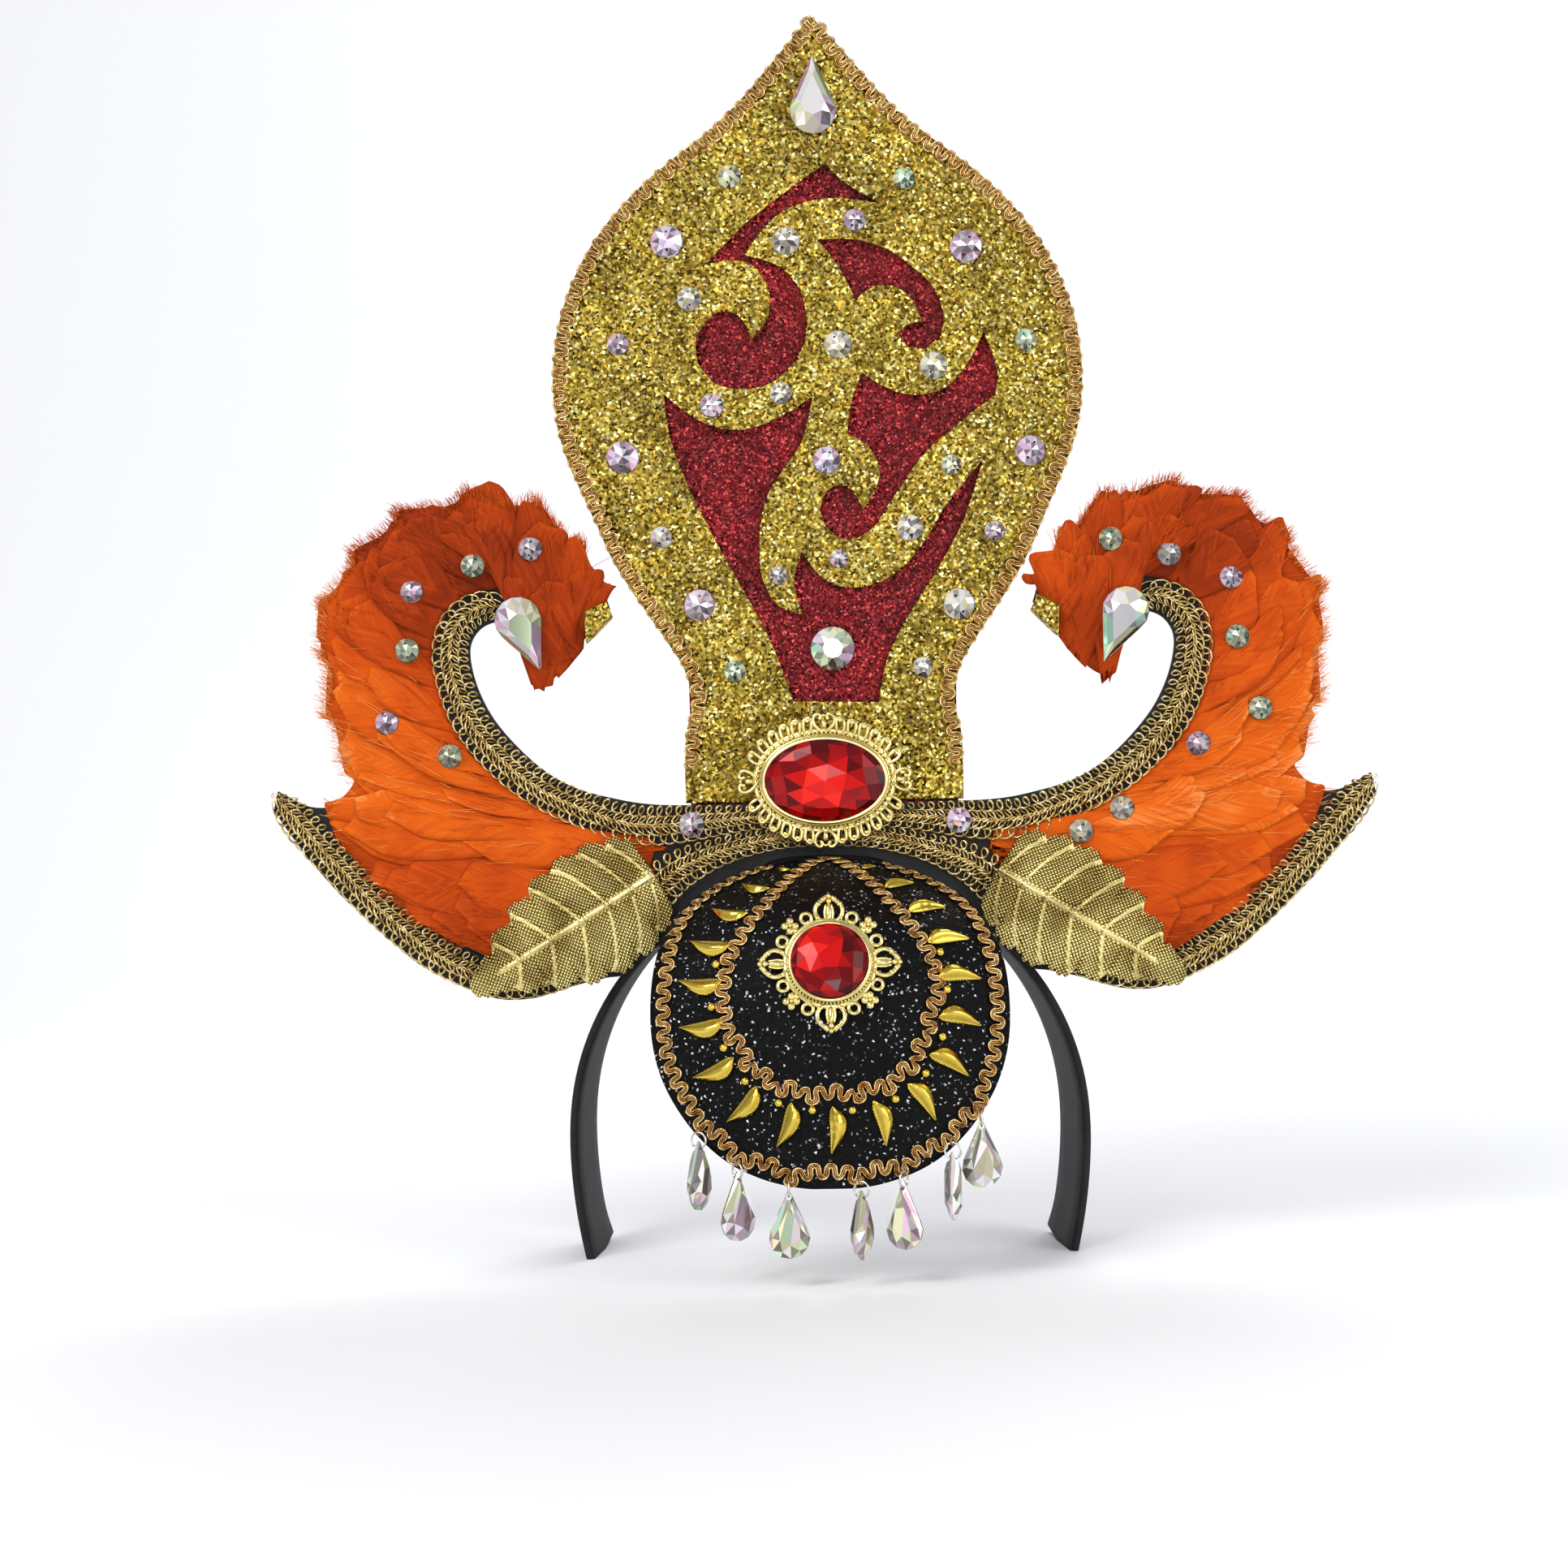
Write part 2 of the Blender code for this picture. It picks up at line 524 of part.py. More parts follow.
def small_stones(places, surface):
    """Round faceted stones sunk a little into a front surface, as one mesh of separate stones."""
    meshes = []
    for x, z, diameter in places:
        centre = Vector((x, surface, z))
        outline = round_outline(diameter / 2, SMALL_STONE_SIDES)
        rings = stone_rings(centre, outline, SIDE, UP, FRONT, SMALL_STONE_CUT)
        meshes.append(loft_mesh("stone", rings))
    return join_meshes(meshes)


def head_band():
    """The foam arch over the head, its rear edge a little narrower than its front edge."""
    centre = -BAND_RADIUS
    profile = []
    for i in range(-BAND_STEPS, BAND_STEPS + 1):
        angle = math.pi / 2 * i / BAND_STEPS
        profile.append((math.sin(angle), math.cos(angle)))
    arc = [(x * BAND_RADIUS, centre + z * BAND_RADIUS, x, z) for x, z in profile]
    for share in (0.35, 0.7, 1.0):
        turn = math.asin(BAND_LOWER_DROP / BAND_LOWER_RADIUS) * share
        inward = BAND_LOWER_RADIUS * (1 - math.cos(turn))
        drop = BAND_LOWER_RADIUS * math.sin(turn)
        row = (BAND_RADIUS - inward, centre - drop, math.cos(turn), -math.sin(turn))
        arc.append(row)
        arc.insert(0, (-row[0], row[1], -row[2], row[3]))
    rings = []
    for x, z, out_x, out_z in arc:
        ring = []
        for y, scale in ((-BAND_WIDTH / 2, 1.0), (BAND_WIDTH / 2, BAND_REAR_SCALE)):
            lift = BAND_END_SLANT if y > 0 and z < centre - 0.9 * BAND_LOWER_DROP else 0.0
            inner = Vector((x * scale, y, z + lift))
            outer = inner + Vector((out_x, 0.0, out_z)) * BAND_THICKNESS
            ring += [inner, outer] if y < 0 else [outer, inner]
        rings.append(ring)
    add_object("head_band", loft_mesh("head_band", rings, smooth=False), "black_foam")


def plate_tilt(share):
    for (low, low_tilt), (high, high_tilt) in zip(PLATE_BEND, PLATE_BEND[1:]):
        if share <= high:
            return math.radians(low_tilt + (high_tilt - low_tilt) * (share - low) / (high - low))
    return math.radians(PLATE_BEND[-1][1])


PROFILE_STEPS = 200


def plate_profile():
    """Middle line of the plate's back surface, from its lower edge to its top on the band."""
    y = -BAND_WIDTH / 2
    z = BAND_THICKNESS + GAP
    line = []
    step = PLATE_LENGTH / PROFILE_STEPS
    for i in range(PROFILE_STEPS, -1, -1):
        line.append((y, z))
        tilt = plate_tilt(i / PROFILE_STEPS)
        y -= math.sin(tilt) * step
        z -= math.cos(tilt) * step
    line.reverse()
    return line


PLATE_LINE = plate_profile()


def on_plate(across, share, lift=0.0):
    """Point, side and outward vector on the plate; across is in metres along its curve."""
    place = share * PROFILE_STEPS
    index = min(int(place), PROFILE_STEPS - 1)
    low, high = PLATE_LINE[index], PLATE_LINE[index + 1]
    part = place - index
    y = low[0] + (high[0] - low[0]) * part
    z = low[1] + (high[1] - low[1]) * part
    tilt = plate_tilt(share)
    middle = Vector((0.0, -math.cos(tilt), math.sin(tilt)))
    angle = across / PLATE_RADIUS
    normal = SIDE * math.sin(angle) + middle * math.cos(angle)
    side = SIDE * math.cos(angle) - middle * math.sin(angle)
    centre = Vector((0.0, y, z)) - middle * PLATE_RADIUS
    return centre + normal * (PLATE_RADIUS + lift), side, normal


def forehead_plate():
    rings = []
    for share, half in PLATE_OUTLINE:
        across = [column * half * PLATE_HALF_WIDTH for column in PLATE_COLUMNS]
        back = [on_plate(u, share)[0] for u in across]
        front = [on_plate(u, share, PLATE_THICKNESS)[0] for u in reversed(across)]
        rings.append(back + front)
    add_object("forehead_plate", loft_mesh("forehead_plate", rings, smooth=True), "black_glitter")


def plate_edge():
    """The plate's outline laid flat, (across, along), from the top left round the lower edge."""
    right = [Vector((half * PLATE_HALF_WIDTH, share * PLATE_LENGTH)) for share, half in PLATE_OUTLINE]
    left = [Vector((-point.x, point.y)) for point in reversed(right)]
    return smooth_path(left + right, PATH_STEPS)


def inset_path(path, distance):
    return [point + side * distance for point, side in zip(path, path_sides(path))]


def plate_band(name, path, half_width, closed=False):
    """A raised band that follows the plate's front surface along a flat path."""
    rings = []
    for point, side in zip(path, path_sides(path, closed)):
        ring = []
        for across, up in GIMP_SECTION:
            place = point + side * across * half_width
            lift = PLATE_THICKNESS + GAP + up * GIMP_HEIGHT
            ring.append(on_plate(place.x, place.y / PLATE_LENGTH, lift)[0])
        rings.append(ring)
    return loft_mesh(name, rings, closed, smooth=True)


def torus_rings(centre, axis, start, radius, wire, steps):
    """Rings of a wire circle about an axis, beginning in the start direction."""
    across = axis.cross(start)
    rings = []
    for i in range(steps):
        angle = math.tau * i / steps
        out = start * math.cos(angle) + across * math.sin(angle)
        ring = []
        for k in range(WIRE_SIDES):
            turn = math.tau * k / WIRE_SIDES
            ring.append(centre + out * (radius + wire * math.cos(turn)) + axis * wire * math.sin(turn))
        rings.append(ring)
    return rings


def drop_hang(across, turn):
    """Where one drop hangs: its loop's centre, its ring's centre and the ring's level direction."""
    edge = inset_path(plate_edge(), PLATE_MARGIN - HOOK_OFFSET)
    lower = [point for point in edge if point.y < PLATE_LENGTH / 3]
    place = min(lower, key=lambda point: abs(point.x - across))
    lift = PLATE_THICKNESS + GAP + GIMP_HEIGHT - HOOK_SINK
    hook, side, normal = on_plate(place.x, place.y / PLATE_LENGTH, lift)
    angle = math.radians(turn)
    wire = normal * math.cos(angle) + side * math.sin(angle)
    wire.z = 0.0
    wire.normalize()
    outward = max(math.cos(angle), MIN_OUTWARD)
    clear = (RING_RADIUS + RING_WIRE) * math.cos(angle) + GAP - GIMP_HEIGHT
    sway = min(max(0.0, clear / (RING_RADIUS * outward)), MAX_SWAY)
    centre = hook + (wire * sway - UP * math.sqrt(1 - sway ** 2)) * RING_RADIUS
    return hook, centre, wire


def plate_trim_outer():
    """The outer braid of the plate with the thread loops that the drops' rings hang from."""
    edge = inset_path(plate_edge(), PLATE_MARGIN + GIMP_WIDTH / 2)
    path = [point for point in edge if point.y < PLATE_TRIM_TOP * PLATE_LENGTH]
    mesh = plate_band("plate_trim_outer", even_path(path, OUTER_STATIONS), GIMP_WIDTH / 2)
    loops = []
    for across, turn in DROPS:
        hook, centre, wire = drop_hang(across, turn)
        rings = torus_rings(hook, wire, UP, LOOP_RADIUS, LOOP_WIRE, LOOP_STEPS)
        loops.append(loft_mesh("loop", rings, closed=True))
    mesh = combine(mesh, join_meshes(loops), "UNION")
    add_object("plate_trim_outer", mesh, "copper_braid")


def plate_trim_inner():
    """The inner braid of the plate, a closed loop with a pointed top, and a bead between horns."""
    rows = mirror_rows(INNER_GIMP)
    points = [Vector((u * PLATE_HALF_WIDTH, s * PLATE_LENGTH)) for u, s in rows]
    path = smooth_path(points, PATH_STEPS, closed=True)
    band = even_path(path + path[:1], INNER_STATIONS + 1)[:-1]
    mesh = plate_band("plate_trim_inner", band, GIMP_WIDTH / 2, closed=True)
    dense = even_path(path + path[:1], INNER_STATIONS * BEAD_SEARCH)
    horns_at = [place for place, _, _ in horn_places()]
    between = [(a + b) / 2 for a, b in zip(horns_at, horns_at[1:])]
    spare = (len(between) - BEAD_COUNT) // 2
    beads = []
    for middle in between[spare:spare + BEAD_COUNT]:
        place = min(dense, key=lambda point: (point - middle).length)
        outward = (middle - place).normalized()
        spot = place + outward * (GIMP_WIDTH / 2 + (1 - BEAD_OVERLAP) * BEAD_RADIUS)
        base, side, normal = on_plate(spot.x, spot.y / PLATE_LENGTH, PLATE_THICKNESS + GAP)
        up = normal.cross(side)
        outline = round_outline(BEAD_RADIUS, BEAD_SIDES)
        rings = stone_rings(base, outline, side, up, normal, BEAD_CUT)
        beads.append(loft_mesh("bead", rings))
    mesh = combine(mesh, join_meshes(beads), "UNION")
    add_object("plate_trim_inner", mesh, "copper_braid")


def horn_places():
    """Middle of each horn on the flattened plate, the direction outward there and its scale."""
    rows = [(-row[0], *row[1:]) for row in HORN_ROW if row[0] > 0.0] + list(reversed(HORN_ROW))
    points = [Vector((u * PLATE_HALF_WIDTH, s * PLATE_LENGTH, scale)) for u, s, scale in rows]
    places = even_path(smooth_path(points, PATH_STEPS), HORN_COUNT)
    flat = [Vector((place.x, place.y)) for place in places]
    return [(spot, -out, place.z) for place, spot, out in zip(places, flat, path_sides(flat))]


def horns():
    """Curved horn studs in a row between the two braids, each with its point outward."""
    for number, (spot, out, scale) in enumerate(horn_places(), start=1):
        horn(f"horn_{number:02d}", spot, out, scale)


def horn(name, place, out, scale):
    """One horn, fat at its root and bent sideways towards its point."""
    along = Vector((-out.y, out.x))
    rings = []
    for share, bend, thick in HORN_ROWS:
        middle = place + (out * share + along * bend) * HORN_LENGTH * scale
        ring = []
        for k in range(HORN_SIDES):
            angle = math.pi / 2 + math.tau * k / HORN_SIDES
            spot = middle + along * HORN_RADIUS * HORN_BREADTH * thick * math.cos(angle)
            lift = PLATE_THICKNESS + GAP + HORN_RADIUS * thick * (HORN_SEAT + math.sin(angle))
            ring.append(on_plate(spot.x, spot.y / PLATE_LENGTH, lift)[0])
        rings.append(ring)
    add_object(name, loft_mesh(name, rings, smooth=True), "gold_metal")


def board_point(row):
    return Vector((row[0] * HALF_SPAN, row[1] * RISE))


def front_board():
    """The black foam board: the cross piece over the band and both wings."""
    half = [board_point(row) for row in BOARD_OUTLINE]
    right = [(p.x, p.y, False) for p in half]
    left = [(-p.x, p.y, False) for p in reversed(half[1:-1])]
    mesh = slab_mesh("front_board", [right + left], BOARD_FRONT, BOARD_THICKNESS, resolution=1)
    add_object("front_board", mesh, "black_foam")


def panel_point(x_share, z_share):
    return x_share * PANEL_HALF_WIDTH, PANEL_BASE + z_share * PANEL_HEIGHT


def panel_edge():
    """The panel's outline from its right foot over the tip to its left foot."""
    right = [Vector(panel_point(x, z)) for x, z in PANEL_OUTLINE]
    left = [Vector((-p.x, p.y)) for p in reversed(right)]
    tip = Vector(panel_point(0.0, 1.0))
    arm = even_path(smooth_path(right + [tip], PATH_STEPS), PANEL_STEPS)
    other = even_path(smooth_path([tip] + left, PATH_STEPS), PANEL_STEPS)
    return arm + other[1:]


def crown_panel():
    """The gold sheet with its scrolls cut through and its small stones sewn on."""
    outline = [(p.x, p.y, True) for p in panel_edge()]
    loops = [outline]
    for scroll in (SCROLL_TOP, SCROLL_COMMA, SCROLL_HOOK, SCROLL_HEART):
        loops.append([(*panel_point(x, z), corner) for x, z, corner in scroll])
    mesh = slab_mesh("crown_panel", loops, PANEL_FRONT, PANEL_THICKNESS, resolution=2)
    places = [(*panel_point(x, z), diameter) for x, z, diameter in PANEL_STONES]
    mesh = combine(mesh, small_stones(places, PANEL_FRONT), "UNION")
    add_object("crown_panel", mesh, "gold_glitter")


def panel_backing():
    """The red sheet behind the panel and the cross piece."""
    outline = [(p.x, p.y, True) for p in inset_path(panel_edge(), BACKING_INSET)[::2]]
    outline[0] = (outline[0][0], BACKING_BASE, True)
    outline[-1] = (outline[-1][0], BACKING_BASE, True)
    front = BOARD_FRONT + BOARD_THICKNESS + GAP
    mesh = slab_mesh("panel_backing", [outline], front, BACKING_THICKNESS)
    add_object("panel_backing", mesh, "red_glitter")


def panel_trim():
    path = inset_path(panel_edge(), GIMP_WIDTH / 2 - GIMP_OVERHANG)
    path = [p for p in path if p.y > PANEL_BASE + GIMP_FOOT_GAP]
    halves = [GIMP_WIDTH / 2] * len(path)
    mesh = flat_band("panel_trim", path, halves, PANEL_FRONT - GAP, GIMP_HEIGHT, GIMP_SECTION)
    add_object("panel_trim", mesh, "copper_braid")


def mirrored(mesh):
    """A mirror image of a mesh across the YZ plane, with its faces turned out again."""
    other = mesh.copy()
    bm = bmesh.new()
    bm.from_mesh(other)
    bmesh.ops.scale(bm, vec=(-1.0, 1.0, 1.0), verts=bm.verts)
    bmesh.ops.reverse_faces(bm, faces=bm.faces)
    bm.to_mesh(other)
    bm.free()
    return other


def add_pair(name, mesh, finish):
    """The right-hand piece as modelled and the left-hand piece as its mirror image."""
    add_object(f"{name}_left", mirrored(mesh), finish)
    add_object(f"{name}_right", mesh, finish)


def braid_mesh(name, rows, steps):
    points = [Vector((x * HALF_SPAN, z * RISE, half)) for x, z, half in rows]
    path = even_path(smooth_path(points, PATH_STEPS), steps)
    flat = [Vector((p.x, p.y)) for p in path]
    halves = [p.z for p in path]
    return flat_band(name, flat, halves, BOARD_FACE, BRAID_HEIGHT, BRAID_SECTION)


def braids():
    """The looped braids of each wing: along the curl and along the lower edge."""
    x, z, diameter = CROSS_STONE
    stone = small_stones([(x * HALF_SPAN, z * RISE, diameter)], BOARD_FACE - BRAID_HEIGHT)
    curl = combine(braid_mesh("curl_braid", CURL_BRAID, CURL_STATIONS), stone, "UNION")
    add_pair("curl_braid", curl, "gold_braid")
    add_pair("edge_braid", braid_mesh("edge_braid", EDGE_BRAID, EDGE_STATIONS), "gold_braid")


def feather_ring(inner, outer, reach, step):
    """One cross-section of the feathers: reach lengthens it outward, step thickens it."""
    away = (outer - inner).normalized()
    end = outer + away * reach
    ring = []
    for share, rise in FEATHER_COLUMNS:
        place = inner.lerp(end, share)
        thick = FEATHER_ROOT + (FEATHER_HEIGHT - FEATHER_STEP + step) * rise
        ring.append(Vector((place.x, BOARD_FACE - thick, place.y)))
    ring.append(Vector((end.x, BOARD_FACE, end.y)))
    ring.append(Vector((inner.x, BOARD_FACE, inner.y)))
    return ring


def feather_mesh():
    """Overlapping locks from the curl's end to the root, each thicker at its free end."""
    inner = [Vector((row[0] * HALF_SPAN, row[1] * RISE)) for row in FEATHER_ROWS]
    outer = [Vector((row[2] * HALF_SPAN, row[3] * RISE)) for row in FEATHER_ROWS]
    rings = []
    for i in range(len(FEATHER_ROWS) - 1):
        rings.append(feather_ring(inner[i], outer[i], -FEATHER_SERRATION / 2, 0.0))
        late_inner = inner[i].lerp(inner[i + 1], LOCK_SHARE)
        late_outer = outer[i].lerp(outer[i + 1], LOCK_SHARE)
        reach = FEATHER_SERRATION / 2 if i < FREE_LOCKS else -FEATHER_SERRATION / 2
        rings.append(feather_ring(late_inner, late_outer, reach, FEATHER_STEP))
    return loft_mesh("feathers", rings)


def feathers():
    surface = FEATHER_FRONT + FEATHER_ROOT
    for name, mirror, places in (
        ("feathers_left", -1.0, WING_STONES),
        ("feathers_right", 1.0, WING_STONES + ROOT_STONES),
    ):
        mesh = feather_mesh()
        if mirror < 0:
            mesh = mirrored(mesh)
        spots = [(mirror * x * HALF_SPAN, z * RISE, WING_STONE_DIAMETER) for x, z in places]
        mesh = combine(mesh, small_stones(spots, surface), "UNION")
        add_object(name, mesh, "orange_feather")


def leaves():
    """Stamped leaves over the wing roots: domed, with a raised midrib and a toothed edge."""
    root = board_point(LEAF_ROOT)
    along = Vector((math.cos(LEAF_FALL), math.sin(LEAF_FALL)))
    above = Vector((-along.y, along.x))
    rings = []
    for share, upper, lower in LEAF_ROWS:
        rib = root + along * share * LEAF_LENGTH
        dome = LEAF_DOME * math.sqrt(math.sin(math.pi * (1 + 3 * share) / 4))
        section = [(upper * across, rise) for across, rise in LEAF_COLUMNS] + [(0.0, 1.0)]
        section += [(-lower * across, rise) for across, rise in reversed(LEAF_COLUMNS)]
        front = []
        rear = []
        for across, rise in section:
            place = rib + above * across * LEAF_LENGTH
            depth = LEAF_BACK - dome * rise
            front.append(Vector((place.x, depth - LEAF_THICKNESS, place.y)))
            rear.append(Vector((place.x, depth, place.y)))
        rings.append(front + rear[::-1])
    add_pair("leaf", loft_mesh("leaf", rings), "gold_metal")


def filigree_loops(outline, holes):
    return [[(x, z, False) for x, z in outline]] + [[(x, z, False) for x, z in hole] for hole in holes]


def petal_hole(angle, shares, radius, ratio):
    """A four-point opening that points outward at an angle, on an oval of the given ratio."""
    inner, outer, width = (share * radius for share in shares)
    out = Vector((math.cos(angle), math.sin(angle)))
    side = Vector((-out.y, out.x))
    middle = (inner + outer) / 2
    points = [out * inner, out * middle - side * width, out * outer, out * middle + side * width]
    return [(p.x, p.y * ratio) for p in points]


def bezel_rings(radius_x, radius_z, centre, side, up, normal):
    """The raised rim that holds a stone, as a solid dish."""
    outline = round_outline(radius_x + BEZEL_WALL, BEZEL_SIDES, radius_z + BEZEL_WALL)
    return stone_rings(centre, outline, side, up, normal, BEZEL_CUT)


def petal_reach(index):
    """How far the oval setting's edge reaches: petals, dips between them, and four larger ones."""
    if index % (OVAL_PETALS // 2) == 0:
        return 1.0
    return 0.935 if index % 2 == 0 else 0.84


def oval_setting():
    """The oval setting over the cross piece, with a ring of looped petals."""
    half_x, half_z = OVAL_SETTING
    outline = []
    for i in range(2 * OVAL_PETALS):
        angle = math.pi * i / OVAL_PETALS
        reach = petal_reach(i)
        outline.append((half_x * reach * math.cos(angle), half_z * reach * math.sin(angle)))
    holes = []
    for i in range(OVAL_PETALS):
        holes.append(petal_hole(math.tau * i / OVAL_PETALS, OVAL_HOLE, half_x, half_z / half_x))
    back = BOARD_FACE - BRAID_HEIGHT - GAP
    loops = filigree_loops(outline, holes)
    mesh = slab_mesh("oval_setting", loops, back - SETTING_THICKNESS, SETTING_THICKNESS, resolution=1)
    mesh.transform(Matrix.Translation((OVAL_CENTRE[0], 0.0, OVAL_CENTRE[1])))
    base = Vector((OVAL_CENTRE[0], back, OVAL_CENTRE[1]))
    rim = loft_mesh("rim", bezel_rings(*OVAL_STONE, base, SIDE, UP, FRONT))
    add_object("oval_setting", combine(mesh, rim, "UNION"), "gold_metal")
    outline = round_outline(OVAL_STONE[0], BEZEL_SIDES, OVAL_STONE[1])
    stone = loft_mesh("oval_stone", stone_rings(base, outline, SIDE, UP, FRONT, OVAL_STONE_CUT))
    add_object("oval_stone", stone, "red_stone")


def round_setting():
    """The round filigree setting on the plate, with four lobes and corner flowers."""
    base, side, normal = on_plate(0.0, ROUND_PLACE, PLATE_THICKNESS + GAP)
    up = side.cross(normal)
    outline = []
    for i in range(ROUND_POINTS):
        angle = math.tau * i / ROUND_POINTS
        lobe = 0.875 + 0.125 * abs(math.cos(2 * angle)) ** 1.5
        reach = ROUND_SETTING * (lobe - 0.05 if i % 3 == 1 else lobe)
        outline.append((reach * math.cos(angle), reach * math.sin(angle)))
    holes = []
    for i in range(ROUND_HOLES):
        holes.append(petal_hole(math.tau * (i + 0.5) / ROUND_HOLES, ROUND_HOLE, ROUND_SETTING, 1.0))
    loops = filigree_loops(outline, holes)
    flat = slab_mesh("round_setting", loops, -SETTING_THICKNESS, SETTING_THICKNESS, resolution=1)
    for vertex in flat.vertices:
        x, y, z = vertex.co
        vertex.co = base + side * x + up * z - normal * y
    rim = loft_mesh("rim", bezel_rings(ROUND_STONE, ROUND_STONE, base, side, up, normal))
    add_object("round_setting", combine(weld(flat), rim, "UNION"), "gold_metal")
    outline = round_outline(ROUND_STONE, BEZEL_SIDES)
    rings = stone_rings(base, outline, side, up, normal, ROUND_STONE_CUT)
    add_object("round_stone", loft_mesh("round_stone", rings), "red_stone")


def large_stones():
    """The teardrops on the tip and the curls, and the round stone low on the panel."""
    outline = teardrop_outline(STONE_LENGTH, STONE_WIDTH)
    tip_x, tip_z = panel_point(0.0, TIP_STONE_PLACE)
    tip = Vector((tip_x, PANEL_FRONT - GAP, tip_z))
    rings = stone_rings(tip, outline, SIDE, UP, FRONT, LARGE_STONE_CUT)
    add_object("tip_stone", loft_mesh("tip_stone", rings), "rainbow_stone")
    place = board_point(CURL_STONE)
    centre = Vector((place.x, FEATHER_FRONT - GAP, place.y))
    turned_up = Vector((-math.sin(CURL_STONE_TURN), 0.0, -math.cos(CURL_STONE_TURN)))
    turned_side = Vector((-math.cos(CURL_STONE_TURN), 0.0, math.sin(CURL_STONE_TURN)))
    rings = stone_rings(centre, outline, turned_side, turned_up, FRONT, LARGE_STONE_CUT)
    add_pair("curl_stone", loft_mesh("curl_stone", rings), "rainbow_stone")
    x, z, diameter = PANEL_STONE
    spot = panel_point(x, z)
    seat = Vector((spot[0], BOARD_FRONT + BOARD_THICKNESS, spot[1]))
    rings = stone_rings(seat, round_outline(diameter / 2, BEZEL_SIDES), SIDE, UP, FRONT, LARGE_STONE_CUT)
    add_object("panel_stone", loft_mesh("panel_stone", rings), "rainbow_stone")


def drop_mesh():
    """A faceted drop with its hole at the origin, its point up and its faces to the front and rear."""
    outline = teardrop_outline(DROP_LENGTH, DROP_WIDTH)
    middle = Vector((0.0, 0.0, DROP_HOLE_INSET - DROP_LENGTH / 2))
    body = loft_mesh("drop", stone_rings(middle, outline, SIDE, UP, FRONT, DROP_CUT))
    round_hole = round_outline(DROP_HOLE, DROP_HOLE_SIDES)
    through = [(1.0, -DROP_DEPTH), (1.0, DROP_DEPTH)]
    hole = loft_mesh("hole", stone_rings(Vector(), round_hole, SIDE, UP, FRONT, through))
    return combine(body, hole, "DIFFERENCE")


def drops():
    """Seven drops, each on a jump ring through a thread loop of the outer braid."""
    body = drop_mesh()
    for number, (across, turn) in enumerate(DROPS, start=1):
        hook, centre, wire = drop_hang(across, turn)
        axis = wire.cross(UP).normalized()
        rings = torus_rings(centre, axis, UP, RING_RADIUS, RING_WIRE, RING_STEPS)
        add_object(f"ring_{number}", loft_mesh("ring", rings, closed=True, smooth=True), "silver_wire")
        crystal = add_object(f"drop_{number}", body.copy(), "rainbow_stone")
        crystal.location = centre - UP * RING_RADIUS
        crystal.rotation_euler = (0.0, 0.0, math.atan2(wire.x, -wire.y))


def build_crown():
    clear_scene()
    head_band()
    forehead_plate()
    plate_trim_outer()
    plate_trim_inner()
    horns()
    front_board()
    panel_backing()
    crown_panel()
    panel_trim()
    braids()
    feathers()
    leaves()
    oval_setting()
    round_setting()
    large_stones()
    drops()


build_crown()
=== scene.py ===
# %% [markdown]
# # A feathered carnival crown
# The crown is a stack of crafted layers: foam sheet at the back, glitter sheet and feathers on
# it, then braid along every edge, and stamped metal, filigree and faceted stones on top.
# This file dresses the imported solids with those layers, one finish or piece to a cell. Every
# piece takes its place from the solid it stands for, so nothing has to be fitted by eye.

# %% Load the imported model
import json
import math
import random

import bmesh
import bpy
import numpy as np
from mathutils import Matrix, Vector
from mathutils.bvhtree import BVHTree

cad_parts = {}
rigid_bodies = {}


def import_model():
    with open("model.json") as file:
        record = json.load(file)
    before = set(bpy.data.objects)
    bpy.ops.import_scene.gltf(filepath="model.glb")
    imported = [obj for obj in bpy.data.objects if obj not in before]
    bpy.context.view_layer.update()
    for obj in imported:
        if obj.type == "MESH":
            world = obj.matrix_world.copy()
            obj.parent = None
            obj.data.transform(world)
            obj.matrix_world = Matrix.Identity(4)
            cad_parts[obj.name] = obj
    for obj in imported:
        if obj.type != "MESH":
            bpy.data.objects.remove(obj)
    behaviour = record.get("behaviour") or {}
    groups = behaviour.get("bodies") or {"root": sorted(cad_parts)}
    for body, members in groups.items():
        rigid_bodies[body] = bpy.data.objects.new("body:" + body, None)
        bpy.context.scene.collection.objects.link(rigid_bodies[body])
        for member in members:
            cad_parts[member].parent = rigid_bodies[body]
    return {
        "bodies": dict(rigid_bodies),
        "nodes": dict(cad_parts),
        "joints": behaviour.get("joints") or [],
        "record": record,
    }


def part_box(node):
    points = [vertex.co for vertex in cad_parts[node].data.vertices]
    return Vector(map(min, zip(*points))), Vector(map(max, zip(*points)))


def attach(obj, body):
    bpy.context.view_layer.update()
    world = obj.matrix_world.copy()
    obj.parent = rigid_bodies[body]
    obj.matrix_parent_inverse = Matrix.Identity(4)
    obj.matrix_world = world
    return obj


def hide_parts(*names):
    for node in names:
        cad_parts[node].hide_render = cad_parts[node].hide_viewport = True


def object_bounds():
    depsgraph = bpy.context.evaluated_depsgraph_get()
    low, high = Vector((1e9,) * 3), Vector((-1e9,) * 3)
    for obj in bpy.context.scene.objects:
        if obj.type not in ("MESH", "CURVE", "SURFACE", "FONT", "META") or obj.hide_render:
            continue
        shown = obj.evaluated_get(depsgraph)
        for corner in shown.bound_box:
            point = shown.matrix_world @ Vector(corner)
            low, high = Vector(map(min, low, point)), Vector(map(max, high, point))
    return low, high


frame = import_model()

cad_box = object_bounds()
nodes = frame["nodes"]
print(len(nodes), "solids in a box of", [round(v, 4) for v in cad_box[1] - cad_box[0]])

